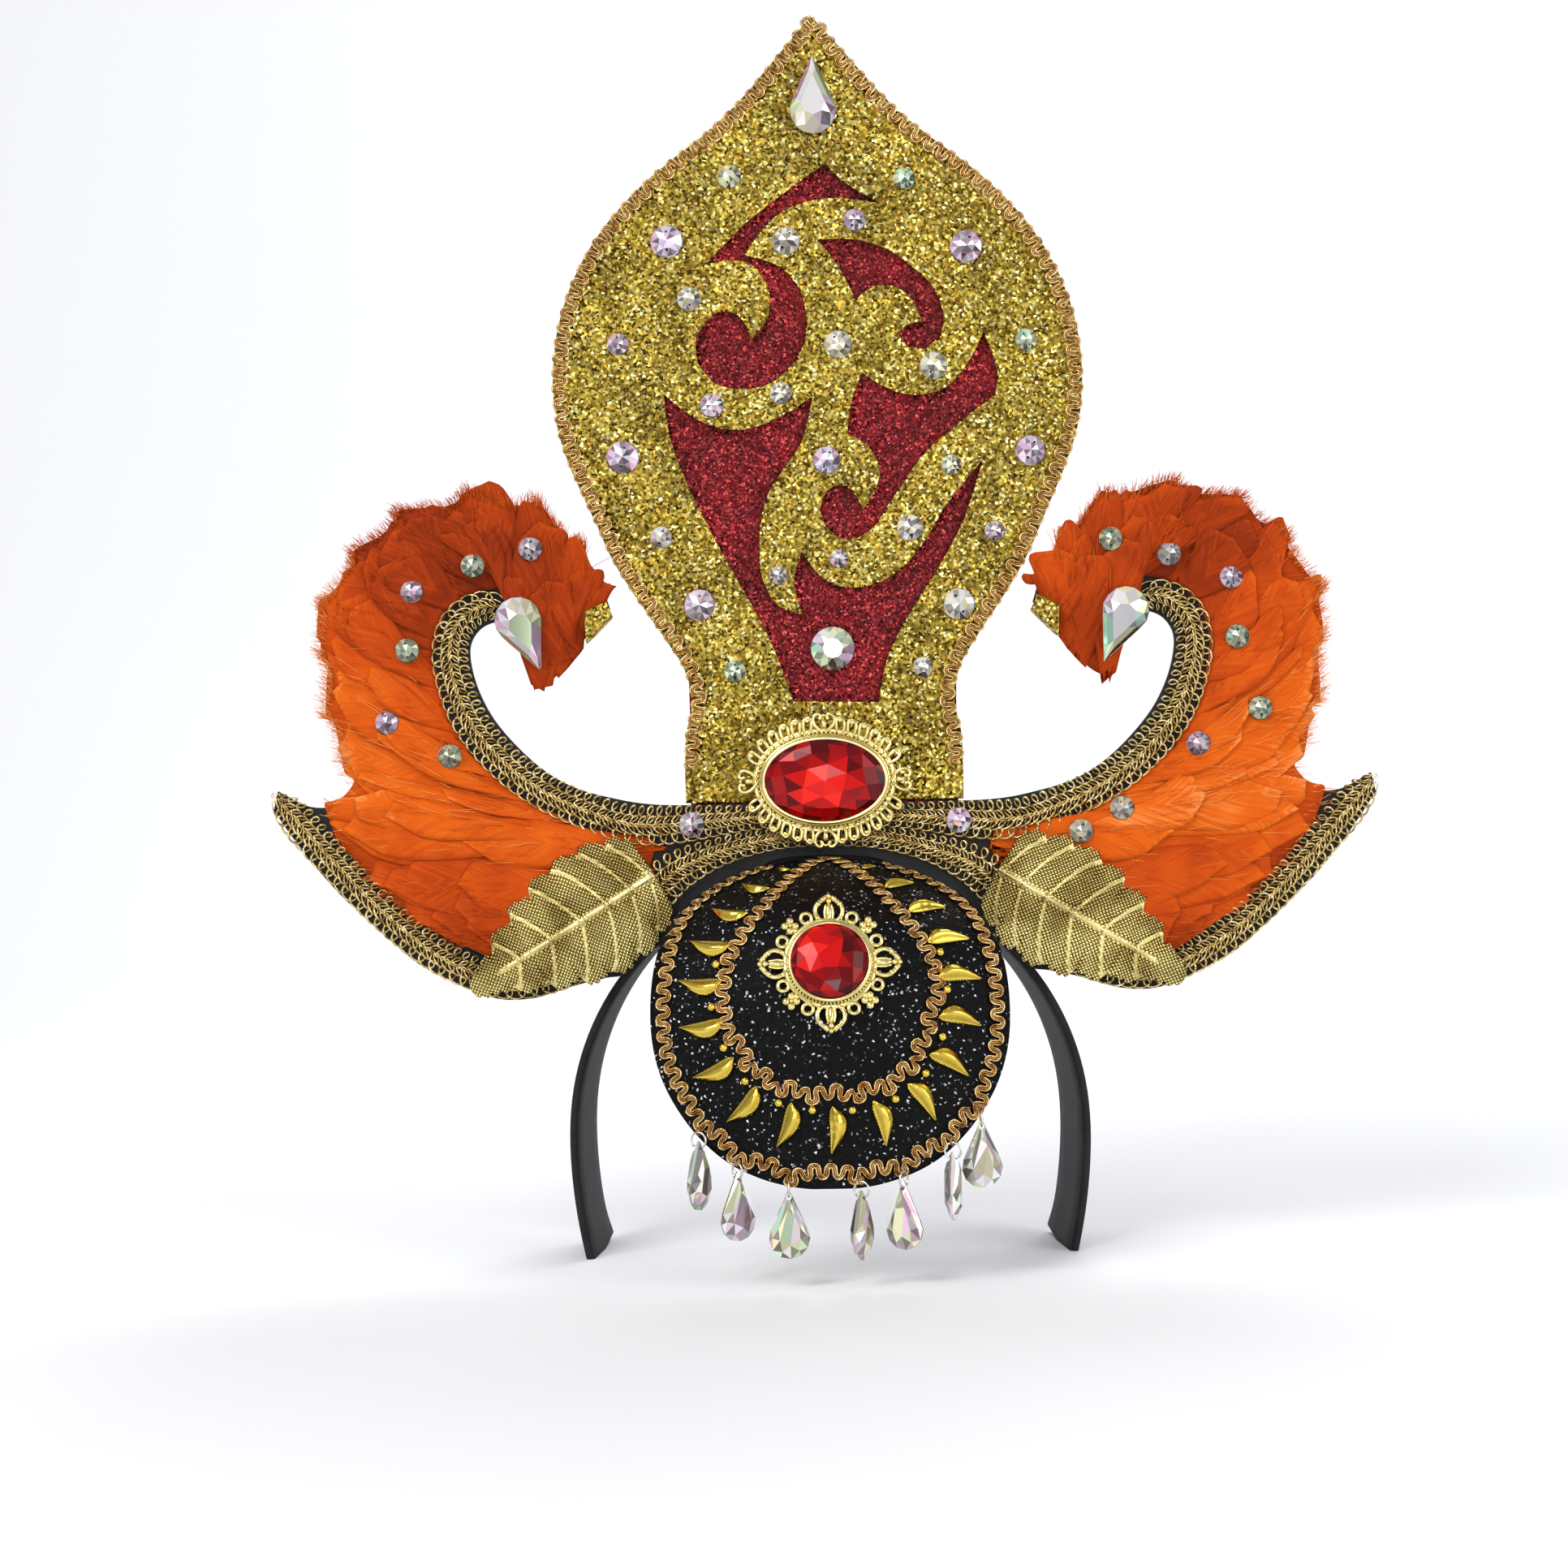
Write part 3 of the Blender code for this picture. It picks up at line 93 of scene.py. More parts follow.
# %% [markdown]
# ## Camera and studio
# The photograph is taken from straight ahead, a little over a metre away, with a long lens and
# the camera turned by one degree. A matrix says this more exactly than three angles would: its
# columns are the camera's right, its up and its back.
# The studio is a pale floor that curves up into a wall, so no corner line shows. Gold and
# glitter need something bright and something dark to mirror, so the light comes from a few
# soft boxes instead of from all round.

# %% Camera
CAMERA_PLACE = Vector((-0.0138, -1.062, 0.0318))
CAMERA_ROLL = math.radians(1.0)
CAMERA_LENS = 69.88
SENSOR = 36.0


def make_camera():
    data = bpy.data.cameras.new("camera")
    data.sensor_width = SENSOR
    data.lens = CAMERA_LENS
    camera = bpy.data.objects.new("camera", data)
    right = (math.cos(CAMERA_ROLL), 0.0, -math.sin(CAMERA_ROLL))
    up = (math.sin(CAMERA_ROLL), 0.0, math.cos(CAMERA_ROLL))
    turn = Matrix((right, up, (0.0, -1.0, 0.0))).transposed().to_4x4()
    camera.matrix_world = Matrix.Translation(CAMERA_PLACE) @ turn
    bpy.context.scene.collection.objects.link(camera)
    bpy.context.scene.camera = camera
    return camera


camera = make_camera()
print("camera at", tuple(camera.location))

# %% Helpers that make meshes and pieces
def to_mesh(name, bm):
    """Turn a bmesh into mesh data, and free it."""
    mesh = bpy.data.meshes.new(name)
    bm.to_mesh(mesh)
    bm.free()
    return mesh


def add_mesh(name, bm, material=None, smooth=True):
    """Turn a bmesh into an object with one material."""
    mesh = to_mesh(name, bm)
    obj = bpy.data.objects.new(name, mesh)
    bpy.context.scene.collection.objects.link(obj)
    if material is not None:
        mesh.materials.clear()
        mesh.materials.append(material)
    mesh.polygons.foreach_set("use_smooth", [smooth] * len(mesh.polygons))
    return obj


def take_in(whole, mesh):
    """Add a mesh to a bmesh, and delete the mesh."""
    whole.from_mesh(mesh)
    bpy.data.meshes.remove(mesh)


def read_places(mesh):
    """The places of a mesh's vertices, one row each."""
    places = np.empty(len(mesh.vertices) * 3)
    mesh.vertices.foreach_get("co", places)
    return places.reshape(-1, 3)


def modified_mesh(obj):
    """The mesh that an object's modifiers give."""
    return bpy.data.meshes.new_from_object(obj.evaluated_get(bpy.context.evaluated_depsgraph_get()))


def add_wall(obj, name, thickness, offset=-1.0):
    """Give a single skin its thickness."""
    wall = obj.modifiers.new(name, "SOLIDIFY")
    wall.thickness = thickness
    wall.offset = offset


def finish_piece(obj, slot, *stands_for):
    """Say what a piece rides on and which solids it stands for, which are hidden; slot, the finish it
    takes, is not used.
    """
    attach(obj, "root")
    if stands_for:
        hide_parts(*stands_for)
    triangles = sum(len(p.vertices) - 2 for p in obj.data.polygons)
    print(f"{obj.name}: {triangles} triangles in the mesh")
    return obj


# %% Floor and wall
FLOOR_DROP = 0.0015
SWEEP_PROFILE = [(-3.0, 0.0), (0.9, 0.0), (1.25, 0.05), (1.5, 0.2), (1.65, 0.5), (1.7, 2.5)]
STUDIO_WIDTH = 9.0


def make_studio(floor):
    bm = bmesh.new()
    corners = [bm.verts.new((-STUDIO_WIDTH / 2, y, floor + z)) for y, z in SWEEP_PROFILE]
    edges = [bm.edges.new(pair) for pair in zip(corners, corners[1:])]
    pulled = bmesh.ops.extrude_edge_only(bm, edges=edges)["geom"]
    moved = [v for v in pulled if isinstance(v, bmesh.types.BMVert)]
    bmesh.ops.translate(bm, verts=moved, vec=(STUDIO_WIDTH, 0.0, 0.0))
    bmesh.ops.recalc_face_normals(bm, faces=bm.faces)
    paper = bpy.data.materials.new("studio_paper")
    paper.use_nodes = True
    shader = paper.node_tree.nodes["Principled BSDF"]
    shader.inputs["Base Color"].default_value = (0.86, 0.86, 0.87, 1.0)
    shader.inputs["Roughness"].default_value = 0.9
    sweep = add_mesh("studio_sweep", bm, paper)
    bend = sweep.modifiers.new("rounding", "SUBSURF")
    bend.levels = bend.render_levels = 3
    return sweep


floor_level = cad_box[0].z - FLOOR_DROP
make_studio(floor_level)
print("floor at", round(floor_level, 4))

# %% Soft boxes and room light
LIGHTS = {
    "key_box": ((-1.1, -1.5, 1.5), 1.1, 30.0),
    "fill_box": ((1.5, -1.2, 0.6), 1.2, 12.0),
    "front_box": ((0.0, -1.9, 0.2), 0.5, 5.0),
    "back_box": ((0.4, 1.2, 1.4), 1.0, 14.0),
}
LIT_POINT = Vector((0.0, 0.0, 0.08))
ROOM_COLOUR = (0.93, 0.95, 1.0, 1.0)
ROOM_STRENGTH = 0.55


def make_lights():
    for name, (place, size, power) in LIGHTS.items():
        data = bpy.data.lights.new(name, "AREA")
        data.size = size
        data.energy = power
        light = bpy.data.objects.new(name, data)
        light.location = place
        light.rotation_euler = (LIT_POINT - Vector(place)).to_track_quat("-Z", "Y").to_euler()
        bpy.context.scene.collection.objects.link(light)
    world = bpy.data.worlds.new("studio_room")
    world.use_nodes = True
    background = world.node_tree.nodes["Background"]
    background.inputs["Color"].default_value = ROOM_COLOUR
    background.inputs["Strength"].default_value = ROOM_STRENGTH
    bpy.context.scene.world = world
    bpy.context.scene.view_settings.view_transform = "Standard"


make_lights()
print(len(LIGHTS), "soft boxes")

# %% [markdown]
# ## How the finishes are built
# Each finish is one Principled shader with a small tree of nodes in front of it. A short helper
# keeps the trees readable: it adds a node, and links an input where it is given a socket and
# sets it where it is given a number.

# %% Helpers for materials
def new_material(name, **settings):
    """A material, and the tree and shader to build on; settings go on the shader's sockets."""
    material = bpy.data.materials.new(name)
    material.use_nodes = True
    tree = material.node_tree
    shader = tree.nodes["Principled BSDF"]
    for key, value in settings.items():
        shader.inputs[key.replace("_", " ").title().replace("Ior", "IOR")].default_value = value
    return material, tree, shader


def add_node(tree, kind, inputs=(), **properties):
    node = tree.nodes.new("ShaderNode" + kind)
    for key, value in properties.items():
        setattr(node, key, value)
    for key, value in dict(inputs).items():
        if isinstance(value, bpy.types.NodeSocket):
            tree.links.new(value, node.inputs[key])
        else:
            node.inputs[key].default_value = value
    return node


def ramp(tree, factor, stops, interpolation="LINEAR"):
    """A colour ramp from a list of (place, colour)."""
    node = add_node(tree, "ValToRGB", {"Fac": factor})
    node.color_ramp.interpolation = interpolation
    elements = node.color_ramp.elements
    while len(elements) < len(stops):
        elements.new(0.5)
    for element, (place, colour) in zip(elements, stops):
        element.position = place
        element.color = (*colour, 1.0)
    return node.outputs["Color"]


def maths(tree, operation, first, second=0.0, **properties):
    node = add_node(tree, "Math", {0: first, 1: second}, operation=operation, **properties)
    return node.outputs[0]


def blend_colour(tree, factor, first, second, blend_type="MIX"):
    node = add_node(tree, "Mix", data_type="RGBA", blend_type=blend_type)
    for key, value in ((0, factor), (6, first), (7, second)):
        if isinstance(value, bpy.types.NodeSocket):
            tree.links.new(value, node.inputs[key])
        else:
            node.inputs[key].default_value = value
    return node.outputs[2]


def noise(tree, scale, detail=2.0):
    place = add_node(tree, "TexCoord").outputs["Object"]
    node = add_node(tree, "TexNoise", {"Vector": place, "Scale": scale, "Detail": detail})
    return node.outputs["Fac"]


def bump(tree, height, distance, strength=1.0, normal=None):
    inputs = {"Height": height, "Distance": distance, "Strength": strength}
    if normal is not None:
        inputs["Normal"] = normal
    return add_node(tree, "Bump", inputs).outputs["Normal"]


# %% [markdown]
# ## Glitter sheet
# Glitter sheet is foam or felt with thousands of tiny metal flakes glued down at random tilts.
# A Voronoi texture gives each flake its own cell, and the cell's random colour does two jobs:
# it tips the normal, so each flake mirrors another part of the room, and it picks the flake's
# colour from dark to nearly white, which is painted glint and shade on flakes of one metal.
# A picture of glitter would repeat and blur; cells stay sharp from any side.

# %% Glitter material
FLAKE_WOBBLE = 0.0009


def glitter(name, stops, flake_scale, tilt, patches, metallic=0.9, roughness=0.28):
    material, tree, shader = new_material(name, metallic=metallic, roughness=roughness)
    place = add_node(tree, "TexCoord").outputs["Object"]
    wobble = add_node(tree, "TexNoise",
                      {"Vector": place, "Scale": flake_scale * 0.7, "Detail": 1.0})
    shift = add_node(tree, "VectorMath", {0: wobble.outputs["Color"], 3: FLAKE_WOBBLE},
                     operation="SCALE")
    shifted = add_node(tree, "VectorMath", {0: place, 1: shift.outputs[0]}, operation="ADD")
    cells = add_node(tree, "TexVoronoi", {"Vector": shifted.outputs[0], "Scale": flake_scale})
    parts = add_node(tree, "SeparateColor", {"Color": cells.outputs["Color"]})
    # painted light: flakes of one metal get colours from dark to nearly white, so glints and shade are
    # painted into them
    shade = ramp(tree, parts.outputs["Red"], stops)
    tone = ramp(tree, noise(tree, 46.0, 3.0), [(0.35, (patches,) * 3), (0.68, (1.0, 1.0, 1.0))])
    tree.links.new(blend_colour(tree, 1.0, shade, tone, "MULTIPLY"), shader.inputs["Base Color"])
    lean = add_node(tree, "VectorMath", {0: cells.outputs["Color"], 1: (0.5, 0.5, 0.5)},
                    operation="SUBTRACT")
    lean = add_node(tree, "VectorMath", {0: lean.outputs[0], 3: tilt}, operation="SCALE")
    base = add_node(tree, "NewGeometry").outputs["Normal"]
    normal = add_node(tree, "VectorMath", {0: base, 1: lean.outputs[0]}, operation="ADD")
    normal = add_node(tree, "VectorMath", {0: normal.outputs[0]}, operation="NORMALIZE")
    tree.links.new(normal.outputs[0], shader.inputs["Normal"])
    return material


# the darkest stops are painted shade and the brightest are painted glints on flakes of one metal
gold_glitter = glitter("gold_glitter", [
    (0.00, (0.085, 0.045, 0.004)), (0.35, (0.27, 0.165, 0.015)), (0.62, (0.50, 0.35, 0.040)),
    (0.86, (0.84, 0.68, 0.13)), (0.97, (1.0, 0.93, 0.45)),
], 1250.0, 1.15, 0.58)
red_glitter = glitter("red_glitter", [
    (0.00, (0.040, 0.001, 0.003)), (0.45, (0.14, 0.004, 0.008)), (0.80, (0.36, 0.010, 0.014)),
    (0.97, (0.80, 0.10, 0.09)),
], 1600.0, 0.95, 0.50, metallic=0.75, roughness=0.32)
black_glitter = glitter("black_glitter", [
    (0.00, (0.002, 0.002, 0.002)), (0.955, (0.005, 0.005, 0.005)), (0.975, (0.20, 0.20, 0.21)),
    (0.992, (0.9, 0.9, 0.92)),
], 1700.0, 0.5, 0.6, metallic=0.3, roughness=0.55)
black_glitter.node_tree.nodes["Principled BSDF"].inputs["Specular IOR Level"].default_value = 0.12
print("glitter:", gold_glitter.name, red_glitter.name, black_glitter.name)

# %% [markdown]
# ## Foam, cord, metal and thread
# The foam is matt black with the faint pores of a cut sheet. The cords are metallised thread:
# a fine wrap of tinsel round a core, so they get a tight bump along a noise, and painted shade
# darkens their hollows. The stamped metal is thin plated brass, and painted shade darkens its
# recesses; the pointiness of the mesh finds the hollows and the recesses.

# %% Foam, cord and metal materials
def make_foam():
    material, tree, shader = new_material("black_foam", roughness=0.66, specular_ior_level=0.22)
    pores = add_node(tree, "TexVoronoi", {
        "Vector": add_node(tree, "TexCoord").outputs["Object"], "Scale": 1400.0})
    shade = ramp(tree, noise(tree, 60.0), [(0.3, (0.008, 0.008, 0.009)), (0.8, (0.020, 0.020, 0.021))])
    tree.links.new(shade, shader.inputs["Base Color"])
    rough = bump(tree, pores.outputs["Distance"], 0.0004, 0.35)
    tree.links.new(bump(tree, noise(tree, 240.0), 0.0006, 0.3, rough), shader.inputs["Normal"])
    return material


def make_cord(name, dark, body, bright, roughness):
    material, tree, shader = new_material(name, metallic=0.85, roughness=roughness)
    wrap = noise(tree, 2600.0, 1.0)
    tone = ramp(tree, noise(tree, 420.0, 2.0), [(0.30, dark), (0.52, body), (0.74, bright)])
    # painted shade: the colour is darkened where the pointiness finds a hollow
    hollow_shade = ramp(tree, add_node(tree, "NewGeometry").outputs["Pointiness"],
                  [(0.42, (0.35, 0.30, 0.26)), (0.52, (1.0, 1.0, 1.0))])
    dull = add_node(tree, "Attribute", attribute_name="dull").outputs["Fac"]
    tone = blend_colour(tree, dull, tone, (*dark, 1.0))
    tree.links.new(blend_colour(tree, 1.0, tone, hollow_shade, "MULTIPLY"), shader.inputs["Base Color"])
    tree.links.new(bump(tree, wrap, 0.00018, 0.7), shader.inputs["Normal"])
    return material


def make_metal(name, dark, body, roughness):
    material, tree, shader = new_material(name, metallic=1.0, roughness=roughness)
    # painted shade: the colour darkens in recesses that the pointiness finds
    recess = add_node(tree, "NewGeometry").outputs["Pointiness"]
    tone = ramp(tree, recess, [(0.44, dark), (0.53, body)])
    cloud = ramp(tree, noise(tree, 150.0, 3.0), [(0.3, (0.80, 0.76, 0.70)), (0.7, (1.0, 1.0, 1.0))])
    tree.links.new(blend_colour(tree, 1.0, tone, cloud, "MULTIPLY"), shader.inputs["Base Color"])
    tree.links.new(bump(tree, noise(tree, 900.0), 0.00006, 0.5), shader.inputs["Normal"])
    return material


black_foam = make_foam()
bronze_cord = make_cord("bronze_cord", (0.20, 0.12, 0.03), (0.62, 0.45, 0.16),
                        (1.0, 0.86, 0.50), 0.22)
copper_cord = make_cord("copper_cord", (0.22, 0.09, 0.02), (0.76, 0.48, 0.17),
                        (1.0, 0.80, 0.44), 0.22)
pale_gold = make_metal("pale_gold", (0.14, 0.09, 0.015), (0.90, 0.78, 0.34), 0.20)
horn_gold = make_metal("horn_gold", (0.20, 0.10, 0.01), (0.88, 0.66, 0.10), 0.14)
silver = make_metal("silver_wire", (0.30, 0.30, 0.30), (0.78, 0.78, 0.78), 0.2)
print("foam, two cords and three metals")

# %% [markdown]
# ## Reading places from the solids
# The solids already hold every outline, so the pieces below read them instead of repeating
# them. The back of a solid is flat: the rim of the faces that lie there is its outline, and
# any further loop is a hole. A braid's outline folded along its middle gives the braid's path
# and its width.

# %% Outlines of a solid's back
def merged(name):
    """An editable copy of a solid; the frame's meshes are loose triangles until merged."""
    bm = bmesh.new()
    bm.from_mesh(nodes[name].data)
    bmesh.ops.remove_doubles(bm, verts=bm.verts, dist=1e-6)
    return bm


def solid_points(name):
    """The places of a solid's vertices."""
    bm = merged(name)
    points = [v.co.copy() for v in bm.verts]
    bm.free()
    return points


def outlines(faces):
    """The closed rims round a set of faces, the longest first, as lists of points."""
    inside = set(faces)
    onward = {}
    for face in faces:
        for loop in face.loops:
            if sum(other in inside for other in loop.edge.link_faces) == 1:
                onward[loop.vert] = loop.link_loop_next.vert
    rims = []
    while onward:
        start, vert = onward.popitem()
        rim = [start.co.copy()]
        while vert is not start:
            rim.append(vert.co.copy())
            vert = onward.pop(vert)
        rims.append(rim)
    return sorted(rims, key=lambda rim: -rim_length(rim))


def rim_length(rim):
    return sum((b - a).length for a, b in zip(rim, rim[1:] + rim[:1]))


def back_rims(name):
    bm = merged(name)
    back = max(v.co.y for v in bm.verts)
    flat = [f for f in bm.faces if all(abs(v.co.y - back) < 1e-5 for v in f.verts)]
    rims = outlines(flat)
    bm.free()
    return rims


def fold(rim, start_near):
    """Pair up the two sides of a long outline; the pairs run from the end nearest a point."""
    half = len(rim) // 2
    best = min(range(half), key=lambda k: sum(
        (rim[(k + i) % len(rim)] - rim[(k - 1 - i) % len(rim)]).length for i in range(half)))
    pairs = [(rim[(best + i) % len(rim)], rim[(best - 1 - i) % len(rim)]) for i in range(half)]
    ends = [(sum(pair, Vector()) / 2 - start_near).length for pair in (pairs[0], pairs[-1])]
    return pairs if ends[0] < ends[1] else pairs[::-1]


for name in ("crown_panel", "front_board", "curl_braid_right", "edge_braid_right", "feathers_right"):
    print(name, [len(rim) for rim in back_rims(name)])

# %% [markdown]
# ## Paths
# Braid and gimp are made straight and then bent along a path, as they are sewn on in the real
# workshop. A track holds points, the direction out of the surface, and the direction across.

# %% Smooth paths and tracks
SMOOTH_STEP = 0.0006
CORNER_ANGLE = math.radians(38)


def catmull(a, b, c, d, count):
    t = np.linspace(0.0, 1.0, count, endpoint=False)[:, None]
    return 0.5 * (2 * b + (c - a) * t + (2 * a - 5 * b + 4 * c - d) * t ** 2
                  + (3 * b - a - 3 * c + d) * t ** 3)


def is_corner(before, here, after):
    first, second = Vector(here - before), Vector(after - here)
    return first.length > 0 and second.length > 0 and first.angle(second) > CORNER_ANGLE


def smooth_path(points, closed=False, corners=True, step=SMOOTH_STEP):
    """Run a smooth curve through points, and keep the sharp ones sharp."""
    p = np.array([tuple(q) for q in points], float)
    count = len(p)
    sharp = [corners and (closed or 0 < i < count - 1)
             and is_corner(p[i - 1], p[i], p[(i + 1) % count]) for i in range(count)]
    out = []
    for i in range(count if closed else count - 1):
        j = (i + 1) % count
        start, end = p[i], p[j]
        first, last = not closed and i == 0, not closed and j == count - 1
        before = 2 * start - end if sharp[i] or first else p[i - 1]
        after = 2 * end - start if sharp[j] or last else p[(j + 1) % count]
        pieces = max(2, int(np.linalg.norm(end - start) / step))
        out.append(catmull(before, start, end, after, pieces))
    if not closed:
        out.append(p[-1:])
    return np.vstack(out)


class Track:
    """A path to bend a straight mesh along: x runs along it, y across it and z out of it."""

    def __init__(self, points, outs, widths=None):
        self.points = np.asarray(points, float)
        steps = np.linalg.norm(np.diff(self.points, axis=0), axis=1)
        self.along = np.concatenate([[0.0], np.cumsum(steps)])
        self.length = float(self.along[-1])
        tangent = np.gradient(self.points, axis=0)
        outs = np.broadcast_to(np.asarray(outs, float), self.points.shape)
        self.sides = self.unit(np.cross(outs, tangent))
        self.outs = self.unit(np.cross(tangent, self.sides))
        self.widths = np.ones(len(self.points)) if widths is None else np.asarray(widths, float)

    @staticmethod
    def unit(vectors):
        return vectors / np.maximum(np.linalg.norm(vectors, axis=1, keepdims=True), 1e-12)

    def pick(self, values, s):
        return np.stack([np.interp(s, self.along, values[:, k]) for k in range(3)], axis=1)

    def place(self, co):
        s = np.clip(co[:, 0], 0.0, self.length)
        width = np.interp(s, self.along, self.widths)[:, None]
        side, out = self.unit(self.pick(self.sides, s)), self.unit(self.pick(self.outs, s))
        return self.pick(self.points, s) + side * co[:, 1:2] * width + out * co[:, 2:3]


def bend(mesh, track):
    mesh.vertices.foreach_set("co", track.place(read_places(mesh)).ravel())
    mesh.update()
    return mesh


FRONT = Vector((0.0, -1.0, 0.0))
print("a path point every", SMOOTH_STEP * 1000, "mm")

# %% Tubes along a curve
def tube(bm, centres, radius, sides, flat=1.0, closed=False):
    """Sweep a ring through a list of points; flat squashes the ring towards the sheet."""
    centres = [Vector(c) for c in centres]
    count = len(centres)
    ring = bmesh.ops.create_circle(bm, radius=radius, segments=sides)["verts"]
    edges = list({e for v in ring for e in v.link_edges})
    first_edges = edges
    here = Matrix.Identity(4)
    for i, centre in enumerate(centres):
        before = centres[i - 1] if i or closed else centre
        after = centres[(i + 1) % count] if i < count - 1 or closed else centre
        ahead = (after - before).normalized()
        across = Vector((0.0, 0.0, 1.0)).cross(ahead)
        across = across.normalized() if across.length > 1e-6 else Vector((0.0, 1.0, 0.0))
        lift = ahead.cross(across)
        turn = Matrix((across, lift * flat, ahead)).transposed().to_4x4()
        there = Matrix.Translation(centre) @ turn
        if i:
            grown = bmesh.ops.extrude_edge_only(bm, edges=edges)["geom"]
            ring = [g for g in grown if isinstance(g, bmesh.types.BMVert)]
            edges = [g for g in grown if isinstance(g, bmesh.types.BMEdge)
                     and g.verts[0] in ring and g.verts[1] in ring]
        bmesh.ops.transform(bm, matrix=there @ here.inverted(), verts=list(ring))
        here = there
    if closed:
        bmesh.ops.bridge_loops(bm, edges=edges + first_edges)
    return bm


def repeat(name, bm, pitch, count):
    """Array a unit along x, weld the joins, close the two ends, and return the plain mesh."""
    source = add_mesh(name, bm)
    array = source.modifiers.new("repeat", "ARRAY")
    array.count = count
    array.use_relative_offset = False
    array.use_constant_offset = True
    array.constant_offset_displace = (pitch, 0.0, 0.0)
    array.use_merge_vertices = True
    array.merge_threshold = 2e-5
    done = modified_mesh(source)
    bpy.data.objects.remove(source)
    closed = bmesh.new()
    closed.from_mesh(done)
    bmesh.ops.holes_fill(closed, edges=closed.edges, sides=0)
    bmesh.ops.recalc_face_normals(closed, faces=closed.faces)
    closed.to_mesh(done)
    closed.free()
    return done


def join(name, meshes, material):
    """Join finished meshes into one object."""
    whole = bmesh.new()
    for mesh in meshes:
        take_in(whole, mesh)
    return add_mesh(name, whole, material)


print("tube, repeat and join are ready")

# %% [markdown]
# ## Foam head band and wing board
# The band is one long strip of foam bent over the head, so its solid is smoothed and its cut
# edges stay crisp: an edge crease tells Subdivision Surface where not to round. The board is
# flat sheet, so it is cut afresh from the solid's outline, with a smooth curve through the
# outline's points.

# %% Head band
SHARP = math.radians(50)
EDGE_CREASE = 0.85


def smooth_copy(name, piece, material):
    """A rounded copy of a solid, with creased edges where the solid is sharp."""
    bm = merged(name)
    bmesh.ops.join_triangles(bm, faces=bm.faces, angle_face_threshold=math.radians(25),
                             angle_shape_threshold=math.radians(60))
    creases = bm.edges.layers.float.new("crease_edge")
    for edge in bm.edges:
        if len(edge.link_faces) == 2 and edge.calc_face_angle() > SHARP:
            edge[creases] = EDGE_CREASE
    obj = add_mesh(piece, bm, material)
    rounding = obj.modifiers.new("rounding", "SUBSURF")
    rounding.levels = rounding.render_levels = 2
    return obj


finish_piece(smooth_copy("head_band", "foam_band", black_foam), "black_foam", "head_band")

# %% Sheets cut along an outline
SHEET_BEVEL = 0.00035
SHEET_STEP = 0.0012


def cut_sheet(rims, back, thickness):
    """A flat sheet with holes: trace the rims, fill between them, and give it a thickness."""
    bm = bmesh.new()
    edges = []
    for rim in rims:
        path = smooth_path(rim, closed=True, step=SHEET_STEP)
        verts = [bm.verts.new((x, back, z)) for x, _, z in path]
        edges += [bm.edges.new((a, b)) for a, b in zip(verts, verts[1:] + verts[:1])]
    bmesh.ops.triangle_fill(bm, edges=edges, use_beauty=True, normal=(0.0, 1.0, 0.0))
    front = bmesh.ops.extrude_face_region(bm, geom=bm.faces[:])["geom"]
    moved = [g for g in front if isinstance(g, bmesh.types.BMVert)]
    bmesh.ops.translate(bm, verts=moved, vec=(0.0, -thickness, 0.0))
    bmesh.ops.recalc_face_normals(bm, faces=bm.faces)
    rim_edges = [e for e in bm.edges if len(e.link_faces) == 2 and e.calc_face_angle() > SHARP
                 and abs(e.verts[0].co.y - e.verts[1].co.y) < 1e-6]
    bmesh.ops.bevel(bm, geom=rim_edges, offset=SHEET_BEVEL, segments=2, profile=0.5,
                    affect="EDGES", material=-1)
    return bm


def sheet_depth(name):
    """Back and thickness of a flat solid, from the two levels nearest the back."""
    bm = merged(name)
    depths = sorted({round(v.co.y, 5) for v in bm.verts}, reverse=True)
    bm.free()
    return depths[0], depths[0] - depths[1]


back, thickness = sheet_depth("front_board")
board = add_mesh("wing_board", cut_sheet(back_rims("front_board"), back, thickness), black_foam,
                 smooth=False)
finish_piece(board, "black_foam", "front_board")
print("board is", round(thickness * 1000, 2), "mm thick")

# %% [markdown]
# ## Glitter panel
# The tall onion panel is one sheet of gold glitter foam with four scrolls cut through it, and
# a red glitter sheet shows through the cuts. The red sheet's solid is right as it is, so it
# only takes the new finish.

# %% Panel and its red backing
back, thickness = sheet_depth("crown_panel")
panel = add_mesh("glitter_panel", cut_sheet(back_rims("crown_panel"), back, thickness), gold_glitter,
                 smooth=False)
finish_piece(panel, "gold_glitter", "crown_panel")


def dress(name, material):
    """Give a solid that stays its new finish."""
    nodes[name].data.materials.clear()
    nodes[name].data.materials.append(material)
    return name


print("dressed", dress("panel_backing", red_glitter))

# %% Foam tab between the board and the plate
TAB_SIZE = (0.046, 0.0018, 0.0082)
TAB_FRONT = -0.0223
TAB_BOTTOM = 0.0033
TAB_BEVEL = 0.0003


def make_tab():
    """A strip of foam closes the slit behind the plate's top edge."""
    bm = bmesh.new()
    bmesh.ops.create_cube(bm, size=1.0)
    bmesh.ops.scale(bm, verts=bm.verts, vec=TAB_SIZE)
    bmesh.ops.translate(bm, verts=bm.verts,
                        vec=(0.0, TAB_FRONT + TAB_SIZE[1] / 2, TAB_BOTTOM + TAB_SIZE[2] / 2))
    bmesh.ops.bevel(bm, geom=bm.edges[:], offset=TAB_BEVEL, segments=2, profile=0.5,
                    affect="EDGES", material=-1)
    return finish_piece(add_mesh("foam_tab", bm, black_foam), "black_foam")


make_tab()
